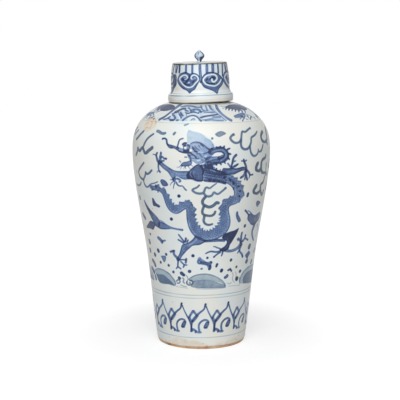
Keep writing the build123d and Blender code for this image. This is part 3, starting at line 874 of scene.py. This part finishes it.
cover_side = """
from 173 74
fill .85 .6,.8 2.6,.2 3.9,3 3.7,8.6 2.6,12.8 .8,14.2 .2,8
1.2 -.6 1.8,6 2.8,3.8 3.2,6.6 2.4,9.8
"""
cover_head_a = """
from 177 71
fill .68 1.6,13.3 .4,10 1,6.5 3,2.8 6,1.5 9.3,.9 12.7,2.6 15.4,2 18.8,2.4 21.6,4.2 22.4,8.3 21.6,12.2 19.9,15
 17.7,18.7 14.9,20.6 12.7,22.6 10.4,20.3 6.6,18.3 3.8,16.1
2.2 .95 5,8.3 7.2,8.7
1.4 .92 12.9,4.4 12.2,7 10.4,9.8 8.5,11.8
1.3 .92 15.4,11.8 17.3,9.6
1.2 .9 7,12.2 10,14 13,14
1.6 -.35 6.8,6.5 9,6.3
1.8 -.35 16.8,7.2 19,7.4
1.35 -.92 10.6,7 10.3,5.4 9.2,4.4 7,4.2 4.5,5.6 2.8,7.8 3.6,10.2 5.5,12.9 8.2,15.3 11.6,16.5 14.9,15.9 17.2,13.8
 18.9,11.6 21.1,9.2 21,6.6 19.3,4.8 17.1,4.1 15,5 14.1,6.8 14.8,8.2
1 -.75 10.4,6.8 9.4,8.2 7.6,8.4
1 -.6 14.9,8.3 16.3,8
1.3 -.75 11,11.7 12.8,11.5
"""
cover_head_b = """
from 200 71
fill .68 1.3,12.5 .3,10.6 1.3,8.3 2.7,5 4.7,2.8 8,1.1 11.3,.9 15.2,1.5 18.6,3 21.3,5.6 23,9.4 22.6,12.8 20.8,15.6
 18.6,18.9 17.2,23.2 15.2,21.7 11.3,19.4 6.9,17.8 3.6,16.1
1.4 .95 9.8,8.6 11.2,6.6 13.3,6.4 14.8,7.4
1.3 .92 6.4,11.6 9,12.8 12,12.8 14.6,12.4
1.4 .9 6,9.6 7.6,7.6
2.4 -.35 8.5,6.3 11,5.6
1.5 -.3 9.4,10.5 10.2,11.3
1.9>1.6>1.4 -.92 11.9,7.8 12,9.8 13.6,10.9 15.7,9.6 16.9,7.4 16.2,5 13.6,3.5 10.2,3.7 6.9,4.6 4.8,6.3 3.2,8.9 4.1,11.2
 6.3,13.3 10.2,14.4 14.4,15 17,13.9 19.7,11.1 21,8.3
"""
knob_strokes = """
from 194 51
2.4>1.8 .66 2.8,1 .8,4.3 1,7.4 3.4,10.6
2.2>1.8 .68 6.4,.2 9.2,3 10,5.6
fill .62 5.8,6.2 9.6,5.4 8.8,8.6 6,10.4
1.6>1 .4 4.8,1 4,4
1.6 .45 3.6,11.6 6.6,11.8
"""
scar = """
from 144 118
fill .22 1,13 .3,8 2.5,3.5 6,.5 10.5,0 12.8,3 11.5,8.5 7.5,11.5 4,13.5
1>.7 .42 1.5,11 3,9.5 5.5,10.3 7.5,8
1.1 .42 5.5,1.5 9,.6 11.8,2 11.8,5.5
1 .4 6.8,3.5 8.5,4.6 7.5,6.6
1.3 .36 2.5,5.8 4.5,4.8
"""
pits = """
from 169 337
1.3 .8 .5,0
1.2 .8 38,9
1.1 .7 17,9
"""

# The dragon's body, in millimetres along it, across it and in from its edge
fin_change, fin_pitch, fin_height, fin_curve, fin_lean = 66.0, 6.8, 3.3, 1.3, 0.8
fin_start, fin_rise = 30, 10
scale_row, scale_long, scale_drop, scale_radius, scale_line = 2.1, 4.2, 1.1, 1.7, 0.5
rim_depth, rim_width, inner_depth, inner_blend = 0.75, 0.65, 1.4, 0.8
belly_from, belly_blend = 0.3, 0.3
band_strength, tone_part, rim_part, scale_part, belly_part = 0.58, 0.12, 0.28, 0.18, 0.14

# The marks on its chest, in pixels
chest_corner, chest_run, chest_deep, chest_taper, chest_mark = (204.6, 168.6), (22, 5.2), 11.4, 2.4, (0.6, 1.1)

# The blush's height, its swell round an angle, and its wandering edge as millimetres, waves round the foot and seed
blush_height, blush_rise, blush_middle, blush_spread, blush_blend = 7.0, 5.0, -0.4, 0.5, 4.0
blush_wander, blush_strength, blush_tone = ((3.0, 19, 21), (1.5, 70, 22)), 0.22, 0.18

petals = 13


def scaled(skin, line, layer):
    """The dragon's body: a band with scales, a pale belly, a dark outline and a row of fins on its back."""
    angle, up, wide = skin.carried_line(smooth_line(read_points(line.split()), fill_step, line_ease), usual_spread)
    rows, columns, off, along, side = skin.near_line(angle, up, wide)
    back = np.where(along < fin_change, -side, side)
    turned = np.diff(angle) * np.interp(up[1:], skin.up, skin.radius)
    gone = running_sum(np.hypot(turned, np.diff(up)))
    fins = ((along + fin_lean * np.abs(side)) / fin_pitch) % 1
    off = off - np.where(back > 0, fin_height * fins**fin_curve, 0) * np.clip((along - fin_start) / fin_rise, 0, 1)
    lane = np.floor(side / scale_row)
    x = (along + (lane % 2) * scale_long / 2) % scale_long - scale_long / 2
    y = side - (lane + 0.5) * scale_row
    net = bell(np.hypot(x, y + scale_drop), scale_radius, scale_line)
    inner = np.clip((-off - inner_depth) / inner_blend, 0, 1)
    belly = np.clip((-back * 2 / np.interp(along, gone, wide) - belly_from) / belly_blend, 0, 1) * inner
    shade = band_strength + tone_part * skin.tone[rows, columns] + rim_part * bell(off, -rim_depth, rim_width)
    dose = inked(off) * (shade + scale_part * net * inner - belly_part * belly)
    layer[rows, columns] = np.maximum(layer[rows, columns], dose)


def chest_scales(rows=5, count=11):
    """Rows of short marks on the dragon's back between its neck and its bend, in pixels."""
    marks = []
    for row in range(rows):
        for k in range(count):
            share = (k + row % 2 / 2) / count
            x, y = np.add(chest_corner, np.multiply(chest_run, share))
            y += (chest_deep - chest_taper * share) * (row + 0.5) / rows
            marks.append(f"1.1 .77 {x:.1f},{y:.1f} {x + chest_mark[0]:.1f},{y + chest_mark[1]:.1f}")
    return "\n".join(marks)


def foot_blush():
    """The clay's orange blush at the foot, higher a little left of the front."""
    edge = blush_height + blush_rise * bell(body.angles, blush_middle, blush_spread)
    for far, waves, seed in blush_wander:
        edge = edge + far * body.waves(waves, seed)
    share = np.clip((edge - body.row_height[:, None]) / blush_blend + 0.5, 0, 1)
    return share * (blush_strength + blush_tone * body.tone)


def paint_body():
    dragon = np.zeros((body.rows, body.columns), np.float32)
    for part in (tail, left_foreleg, right_foreleg, chest):
        body.draw(part, layer=dragon, pool=0.3, dark=1.1)
    scaled(body, body_line, dragon)
    for part in (back_marks, chest_scales(), hind_legs, neck_loop, head, beard):
        body.draw(part, layer=dragon, pool=0.3, dark=1.08)
    body.lay("cobalt", dragon, 0, 180)
    body.brush("cobalt", mane, 0, 180, dark=0.72)
    body.brush("grey_wash_and_shade", mane, 0, 180, dark=0.5)
    body.brush("cobalt", flame_left, 0, 180, -72, dark=1.12)
    body.brush("cobalt", flame_right, 0, 180, 50, dark=1.24, load=1.1)
    body.brush("cobalt", dots + dots_middle, 0, 180, spread=2.4, trim=0.5, load=1.15, dark=1.35)
    body.brush("cobalt", small_marks, 0, 180, spread=1.5, dark=1.2)
    body.brush("grey_wash_and_shade", clouds_right, 0, 180, spread=1.1, load=1.2, dark=1.08)
    body.brush("grey_wash_and_shade", clouds_left, 0, 180, load=1.32, dark=1.3)
    body.brush("grey_wash_and_shade", clouds_edge, 0, 180, 27, -155, spread=1.6, load=1.35, dark=1.5)
    body.brush("grey_wash_and_shade", clouds_centre, 0, 180, 100, -105, load=1.4, dark=1.32)
    body.brush("cobalt", dots_middle, 115, -115)
    body.brush("grey_wash_and_shade", wave_middle + foam, 0, 180)
    body.brush("grey_wash_and_shade", wave_left, 0, 180, 152, -36)
    body.brush("grey_wash_and_shade", wave_right, 0, 180)
    for k in range(petals):
        turn, load = 360 / petals * k, 1.1 + 0.1 * np.sin(2.4 * k)
        body.brush("cobalt", petal, turn, load=load, dark=1.06 + 0.1 * np.sin(1.7 * k))
        body.brush("cobalt", back_petal, turn, load=2.2 - load)
    body.brush("cobalt", panel, 0, 120, 240, spread=3.0)
    body.brush("cobalt", spray_left + spray_right, 0, 120, 240, spread=0.9, dark=1.08)
    body.brush("grey_wash_and_shade", small_dab, 0, 180, spread=2, dark=1.1)
    body.rings(("grey_wash_and_shade", 16.8, 1.1, 0.32), ("grey_wash_and_shade", 72.9, 1.1, 0.3), ("grey_wash_and_shade", 77.0, 1.1, 0.34))
    body.rings(("grey_wash_and_shade", 307.8, 1.1, 0.17), ("grey_wash_and_shade", 312.0, 1.0, 0.1))
    # A painted shadow line, tinted brown, on the shoulder under the cover's rim; a scar and pits in the glaze; and the
    # foot
    body.rings(("grey_wash_and_shade", 329.6, 1.0, 0.6), ("rust", 329.6, 1.2, 0.7))
    body.brush("rust", scar, 0, spread=2.0, pool=0.5)
    body.brush("rust", pits, 0, spread=1.0)
    blush = foot_blush()
    body.lay("rust", blush.astype(np.float32), 0)
    body.lay("grey_wash_and_shade", (0.08 * blush).astype(np.float32), 0)
    # A brown line at the glaze's lower edge at the foot, darkened by painted contact shadow
    body.rings(("grey_wash_and_shade", 3.3, 0.9, 0.75), ("rust", 3.4, 1.6, 0.55))


def paint_cover():
    cover.brush("cobalt", cover_stripes, 0, 120, 240, spread=1.1, trim=0.1, pool=0.4, dark=1.2)
    cover.brush("cobalt", cover_head_a, 0, 100, 207, spread=1.2, pool=0.3, dark=1.2)
    cover.brush("cobalt", cover_head_b, 0, -103, 102.5, 205.5, spread=1.2, pool=0.3, dark=1.2)
    cover.brush("cobalt", cover_side, 0)
    cover.rings(("grey_wash_and_shade", 9.6, 1.1, 0.62), ("grey_wash_and_shade", 12.2, 0.8, 0.25), ("rust", 3.4, 2.4, 0.14))
    # The rim's bare brown edge, darkened by a painted shadow of the gap under it, and a brown line along the top's edge
    cover.rings(("rust", 0.3, 1.6, 0.8), ("grey_wash_and_shade", 0.2, 1.2, 0.7), ("grey_wash_and_shade", 51.2, 2.2, 0.7), ("rust", 51.2, 2.2, 0.68))


def paint_knob():
    knob.lay("cobalt", np.full((knob.rows, knob.columns), 0.2, np.float32) + 0.05 * knob.tone, 0)
    knob.brush("cobalt", knob_strokes, 0, 125, 240, spread=1.6)


def srgb(red, green, blue):
    """A colour as it looks on a screen, 0 to 255, as the values that Blender's sockets hold."""
    screen = np.array((red, green, blue)) / 255
    return (*np.where(screen <= 0.04045, screen / 12.92, ((screen + 0.055) / 1.055) ** 2.4), 1.0)


class Nodes:
    """Short calls for building the nodes of one material or world."""

    def __init__(self, owner):
        owner.use_nodes = True
        self.owner, self.tree = owner, owner.node_tree

    def add(self, kind, inputs=(), **settings):
        node = self.tree.nodes.new("ShaderNode" + kind)
        for name, value in settings.items():
            setattr(node, name, value)
        for name, value in dict(inputs).items():
            self.put(node.inputs[name], value)
        return node

    def put(self, socket, value):
        if isinstance(value, bpy.types.NodeSocket):
            self.tree.links.new(value, socket)
        else:
            socket.default_value = value

    def place(self):
        return self.add("TexCoord").outputs["Object"]

    def noise(self, scale, detail):
        return self.add("TexNoise", {"Vector": self.place(), "Scale": scale, "Detail": detail}).outputs["Fac"]

    def ramp(self, value, stops):
        node = self.add("ValToRGB", {"Fac": value})
        bar = node.color_ramp.elements
        for k, (at, colour) in enumerate(stops):
            stop = bar[k] if k < 2 else bar.new(at)
            stop.position, stop.color = at, srgb(*colour)
        return node.outputs["Color"]

    def level(self, value, low, high, out_low=0.0, out_high=1.0, **settings):
        limits = {"From Min": low, "From Max": high, "To Min": out_low, "To Max": out_high}
        return self.add("MapRange", {"Value": value, **limits}, **settings).outputs["Result"]

    def mix(self, kind, share, a, b):
        node = self.add("Mix", data_type="RGBA", blend_type=kind)
        for name, value in (("Factor_Float", share), ("A_Color", a), ("B_Color", b)):
            self.put(next(s for s in node.inputs if s.identifier == name), value)
        return next(s for s in node.outputs if s.identifier == "Result_Color")

    def math(self, kind, a, b):
        return self.add("Math", {0: a, 1: b}, operation=kind).outputs[0]

    def bump(self, height, strength, distance, **normal):
        inputs = {"Height": height, "Strength": strength, "Distance": distance, **normal}
        return self.add("Bump", inputs).outputs["Normal"]

    def finish(self, colour, roughness, normal, **more):
        """Joins the inputs to the material's shader, and gives the material."""
        for name, value in {"Base Color": colour, "Roughness": roughness, "Normal": normal, **more}.items():
            self.put(self.tree.nodes["Principled BSDF"].inputs[name], value)
        return self.owner


# Tints that the pigments give to the glaze over them, from none to a full brush; the grey-blue wash also darkens the
# painted shadow lines under the cover's rim and at the foot
tints = {
    "cobalt": (
        (0.0, (255, 255, 255)), (0.2, (217, 233, 252)), (0.4, (163, 186, 227)), (0.6, (115, 140, 186)),
        (0.75, (86, 108, 155)), (0.88, (60, 77, 122)), (1.0, (38, 50, 92)),
    ),
    "grey_wash_and_shade": ((0.0, (255, 255, 255)), (0.3, (194, 209, 222)), (0.6, (112, 135, 168)), (1.0, (69, 87, 117))),
    "rust": ((0.0, (255, 255, 255)), (0.3, (255, 236, 217)), (0.7, (242, 184, 128)), (1.0, (128, 77, 51))),
}
glaze_cool, glaze_warm, speck_brown = srgb(216, 222, 221), srgb(222, 222, 215), srgb(120, 95, 75)
glaze_gloss = {"IOR": 1.5, "Specular IOR Level": 0.36}

# Noises, each by its scale and detail
patch_noise, grain_noise, rare_noise = (22, 3), (900, 2), (30, 1)
sheen_noise, swell_noise, skin_noise = (40, 2), (14, 1), (420, 2)
clay_noise, biscuit_sheen, biscuit_tooth, clay_tooth = (60, 4), (200, 2), (700, 3), (500, 3)
noise_middle = (0.3, 0.7)      # most of a noise's values lie between these
speck_scale, speck_size = 85.0, (0.035, 0.06)
bare_height = (0.0072, 0.0085)   # metres from the floor between which bare clay turns to glaze

biscuit_tints = ((0.35, (214, 196, 172)), (0.55, (203, 170, 134)), (0.72, (176, 126, 88)))
clay_tints = ((0.35, (206, 184, 156)), (0.55, (190, 152, 116)), (0.72, (150, 100, 68)))


def clear_glaze(n):
    """The glaze's own colour, now cooler and now warmer."""
    return n.mix("MIX", n.level(n.noise(*patch_noise), 0.38, 0.62), glaze_cool, glaze_warm)


def glaze_material(name, *pigments):
    """Porcelain glaze over whatever is painted under it."""
    n = Nodes(bpy.data.materials.new(name))
    colour = clear_glaze(n)
    grain = n.level(n.noise(*grain_noise), *noise_middle, 0.9, 1.1)
    for pigment in pigments:
        dose = n.math("MULTIPLY", n.add("Attribute", attribute_name=pigment).outputs["Fac"], grain)
        colour = n.mix("MULTIPLY", 1.0, colour, n.ramp(dose, tints[pigment]))
    speck = n.add("TexVoronoi", {"Vector": n.place(), "Scale": speck_scale}).outputs["Distance"]
    rare = n.math("MULTIPLY", n.level(speck, *speck_size, 1.0, 0.0), n.level(n.noise(*rare_noise), 0.56, 0.6))
    colour = n.mix("MULTIPLY", rare, colour, speck_brown)
    roughness = n.level(n.noise(*sheen_noise), *noise_middle, 0.3, 0.4)
    swell = n.bump(n.noise(*swell_noise), strength=0.25, distance=0.002)
    normal = n.bump(n.noise(*skin_noise), strength=0.05, distance=0.0003, Normal=swell)
    return n.finish(colour, roughness, normal, **glaze_gloss)


def biscuit_material(name):
    """Unglazed porcelain body, burnt orange where it met the glaze."""
    n = Nodes(bpy.data.materials.new(name))
    roughness = n.level(n.noise(*biscuit_sheen), *noise_middle, 0.6, 0.85)
    tooth = n.bump(n.noise(*biscuit_tooth), strength=0.3, distance=0.0004)
    return n.finish(n.ramp(n.noise(*clay_noise), biscuit_tints), roughness, tooth)


def body_material(name):
    """Glaze inside the vase, and bare clay under its foot."""
    n = Nodes(bpy.data.materials.new(name))
    height = n.add("SeparateXYZ", {"Vector": n.place()}).outputs["Z"]
    bare = n.level(height, *bare_height, 1.0, 0.0)
    colour = n.mix("MIX", bare, clear_glaze(n), n.ramp(n.noise(*clay_noise), clay_tints))
    tooth = n.bump(n.noise(*clay_tooth), strength=0.15, distance=0.0004)
    return n.finish(colour, n.level(bare, 0, 1, 0.22, 0.75), tooth)


def dress(material, *nodes):
    """Gives pieces of the CAD model, whose shape is right, their finish."""
    for node in nodes:
        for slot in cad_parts[node].material_slots:
            slot.material = material


def add_object(name, data):
    """A new object in the scene."""
    made = bpy.data.objects.new(name, data)
    bpy.context.scene.collection.objects.link(made)
    return made


def mesh_of(bm, name):
    """The mesh that is built so far, under its name."""
    mesh = bpy.data.meshes.new(name)
    bm.to_mesh(mesh)
    bm.free()
    return mesh


wedges = 24    # a glaze ring's columns are a multiple of this
weld = 1e-6    # metres within which the wedges' corners are joined
side_margin, strip_margin = 0.01, 0.04   # room round the strips of a bake map
fine = 1.0


def offset_outline(outline, thick):
    """An outline moved outwards, with its directions."""
    run = np.gradient(outline, axis=0)
    run /= np.hypot(*run.T)[:, None]
    out = np.stack([run[:, 1], -run[:, 0]], 1)
    return outline + out * thick[:, None], out


def between(sheet, row, column):
    """A sheet's values between its cells."""
    i, j = np.clip(np.floor(row).astype(int), 0, sheet.shape[0] - 2), np.floor(column).astype(int)
    down, across = row - i, column - j
    left, right = j % sheet.shape[1], (j + 1) % sheet.shape[1]
    low, high = (sheet[k, left] * (1 - across) + sheet[k, right] * across for k in (i, i + 1))
    return (low * (1 - down) + high * down).astype(np.float32)


def turned_mesh(name, line, columns):
    """A wall that is turned from its outline. A wedge is spun, and then copied round: one spin of the whole wall
    takes far longer."""
    bm = bmesh.new()
    corners = [bm.verts.new((0, -r * mm, z * mm)) for r, z in line]
    edges = [bm.edges.new(pair) for pair in zip(corners, corners[1:])]
    centre, wedge = {"cent": (0, 0, 0), "axis": (0, 0, 1)}, 2 * pi / wedges
    bmesh.ops.spin(bm, geom=corners + edges, angle=wedge, steps=columns // wedges, **centre)
    whole = bm.verts[:] + bm.edges[:] + bm.faces[:]
    bmesh.ops.spin(bm, geom=whole, angle=2 * pi - wedge, steps=wedges - 1, use_duplicate=True, **centre)
    bmesh.ops.remove_doubles(bm, verts=bm.verts, dist=weld)
    bmesh.ops.recalc_face_normals(bm, faces=bm.faces)
    return mesh_of(bm, name)


def glaze_piece(name, skin, low, high, rows, columns, thick, material, body_name, slot, samples=1200, parts=8):
    """One ring of glaze with its painting, between two places up a skin's outline."""
    up = np.linspace(low, high, rows + 1)
    whole = np.linspace(0, skin.up[-1], samples)
    line = np.stack([np.interp(whole, skin.up, skin.radius), np.interp(whole, skin.up, skin.height)], 1)
    line, out = offset_outline(line, np.interp(whole / skin.up[-1], *thick))
    line, out = (np.stack([np.interp(up, whole, column) for column in pair.T], 1) for pair in (line, out))
    mesh = turned_mesh(name, line, columns)
    spot = np.empty(len(mesh.vertices) * 3)
    mesh.vertices.foreach_get("co", spot)
    x, y, z = spot.reshape(-1, 3).T
    wall = np.stack([np.hypot(x, y), z], 1) / mm
    gaps = (((part[:, None] - line) ** 2).sum(2) for part in np.array_split(wall, parts))
    nearest = np.concatenate([np.argmin(gap, 1) for gap in gaps])
    angle = np.arctan2(x, -y)
    row, column = up[nearest] / skin.row_up[-1] * (skin.rows - 1), (angle / pi + 1) / 2 * skin.columns - 0.5
    for pigment, sheet in skin.paint.items():
        mesh.attributes.new(pigment, "FLOAT", "POINT").data.foreach_set("value", between(sheet, row, column))
    direction = np.stack([out[nearest, 0] * np.sin(angle), -out[nearest, 0] * np.cos(angle), out[nearest, 1]], 1)
    first = mesh.polygons[0]
    if np.dot(first.normal, direction[first.vertices[0]]) < 0:
        mesh.flip_normals()
    unroll(mesh, angle, up[nearest], low, high)
    mesh.transform(skin.matrix())
    mesh.shade_smooth()
    mesh.normals_split_custom_set_from_vertices((direction @ skin.turn.T).tolist())
    mesh.materials.append(material)
    piece = add_object(name, mesh)
    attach(piece, body_name)
    return piece


def unroll(mesh, angle, up, low, high, strips=4):
    """A bake map in which the ring lies as strips, one over the other."""
    loops = len(mesh.loops)
    corner = np.empty(loops, int)
    mesh.loops.foreach_get("vertex_index", corner)
    starts = np.empty(len(mesh.polygons), int)
    mesh.polygons.foreach_get("loop_start", starts)
    face = np.repeat(np.arange(len(starts)), np.diff(np.r_[starts, loops]))
    turn = angle[corner] / (2 * pi) % 1
    turn -= np.round(turn - turn[starts][face])
    strip = np.clip(np.floor(np.bincount(face, turn) / np.bincount(face) * strips), 0, strips - 1)[face]
    u = side_margin + (1 - 2 * side_margin) * (turn * strips - strip)
    v = (strip + strip_margin + (1 - 2 * strip_margin) * (up[corner] - low) / (high - low)) / strips
    mesh.uv_layers.new(name="OFBake").data.foreach_set("uv", np.stack([u, v], 1).astype(np.float32).ravel())


paint_body()
paint_cover()
paint_knob()

painted = glaze_material("painted_glaze", "cobalt", "grey_wash_and_shade", "rust")
cover_painted = glaze_material("cover_painted_glaze", "cobalt", "grey_wash_and_shade", "rust")
plain = glaze_material("plain_glaze")

# The body's glaze is laid in rings, each fine enough for the brush lines under it
body_rings = (
    "glaze_foot", "glaze_lotus_band", "glaze_wave_band",
    "glaze_dragon_low", "glaze_dragon_middle", "glaze_dragon_high", "glaze_shoulder",
)
ring_rows, ring_quad = 84, 0.57   # the width of a quad is in millimetres
cover_rows, cover_wedge_steps = 170, 20
bud_rows, bud_columns = 72, 144
# Places up the outline from 0 to 1, and the glaze's thickness at each in millimetres
body_thick = ((0, 0.004, 0.012, 0.75, 0.9, 1), (-0.1, 0.15, 0.3, 0.3, 0.16, 0.14))
cover_thick = ((0, 0.03, 1), (0.05, 0.25, 0.25))
bud_thick = ((0, 1), (0.05, 0.05))
ring_edges = np.linspace(0, body.up[-1], len(body_rings) + 1)
for name, low, high in zip(body_rings, ring_edges, ring_edges[1:]):
    widest = np.interp((low, high), body.up, body.radius).max()
    columns = int(2 * pi * widest / ring_quad * fine / wedges) * wedges
    glaze_piece(name, body, low, high, int(ring_rows * fine), columns, body_thick, painted, "vase", "glaze")
size = int(cover_rows * fine), int(cover_wedge_steps * fine) * wedges
glaze_piece("glaze_cover", cover, 0, cover.up[-1], *size, cover_thick, cover_painted, "cover", "glaze")
size = bud_rows, bud_columns
bud = glaze_piece("knob_bud", knob, 0, knob.up[-1], *size, bud_thick, cover_painted, "cover", "cobalt_wash")
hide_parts("knob")

dress(body_material("body_glaze_and_clay"), "foot_section", "belly_section", "shoulder_section")
dress(plain, "neck", "cover_cap")
dress(biscuit_material("biscuit"), "cover_spigot")

# Floor, light and camera, in metres
floor_size, floor_back, floor_drop = 6.0, 1.0, 0.0001
floor_grey, floor_glow = (0.78, 0.78, 0.78, 1), 1.25
shadow_near, shadow_far, glow_near, glow_far = 0.08, 0.32, 0.56, 0.82
room_grey, white = (0.1, 0.104, 0.11, 1), (1, 1, 1, 1)


def white_to_the_eye(n, share):
    """How much of plain white a ray sees: this share, a number or a socket, for the camera, reflections and
    transmission, and none for light."""
    path = n.add("LightPath").outputs
    seen = path["Is Camera Ray"]
    for kind in ("Is Glossy Ray", "Is Transmission Ray"):
        seen = n.math("MAXIMUM", seen, path[kind])
    return n.math("MULTIPLY", seen, share)


bm = bmesh.new()
bmesh.ops.create_grid(bm, x_segments=2, y_segments=2, size=floor_size / 2)
bmesh.ops.translate(bm, verts=bm.verts, vec=(0, floor_back, -floor_drop))
floor = add_object("floor", mesh_of(bm, "floor"))
n = Nodes(bpy.data.materials.new("pale_floor"))
n.tree.nodes.clear()
# Near the vase the floor glows less, which keeps the vase's soft shadow
away = n.add("VectorMath", {0: n.place()}, operation="LENGTH").outputs["Value"]
fade = n.level(away, shadow_near, shadow_far, glow_near, glow_far, interpolation_type="SMOOTHSTEP")
matte = n.add("BsdfDiffuse", {"Color": floor_grey}).outputs["BSDF"]
glow = n.add("Emission", {"Strength": floor_glow}).outputs["Emission"]
blend = n.add("MixShader", {"Fac": white_to_the_eye(n, fade), 1: matte, 2: glow}).outputs["Shader"]
n.add("OutputMaterial", {"Surface": blend})
floor.data.materials.append(n.owner)

n = Nodes(bpy.data.worlds.new("white_room"))
bpy.context.scene.world = n.owner
background = n.tree.nodes["Background"].inputs
background["Strength"].default_value = 1.0
n.put(background["Color"], n.mix("MIX", white_to_the_eye(n, 1.0), room_grey, white))


def lamp(name, place, target, size, power):
    """A round softbox that faces a point."""
    light = bpy.data.lights.new(name, "AREA")
    light.shape, light.size, light.energy = "DISK", size, power
    holder = add_object(name, light)
    holder.location = place
    holder.rotation_euler = (Vector(target) - Vector(place)).to_track_quat("-Z", "Y").to_euler()


lamp("softbox_front", place=(-0.12, -2.2, 1.3), target=(0, 0, 0.2), size=2.2, power=44.0)
lamp("softbox_top", place=(-0.1, -0.9, 1.9), target=(0, 0, 0.25), size=1.4, power=15.0)

eye = bpy.data.cameras.new("photo_camera")
eye.sensor_width = 36.0
eye.lens = focal_pixels / photo_side * eye.sensor_width
camera = add_object("photo_camera", eye)
camera.location = (camera_side * mm, -camera_distance * mm, camera_height * mm)
camera.rotation_euler = (radians(90 - camera_pitch), 0, 0)
bpy.context.scene.camera = camera
bpy.context.scene.view_settings.view_transform = "Standard"
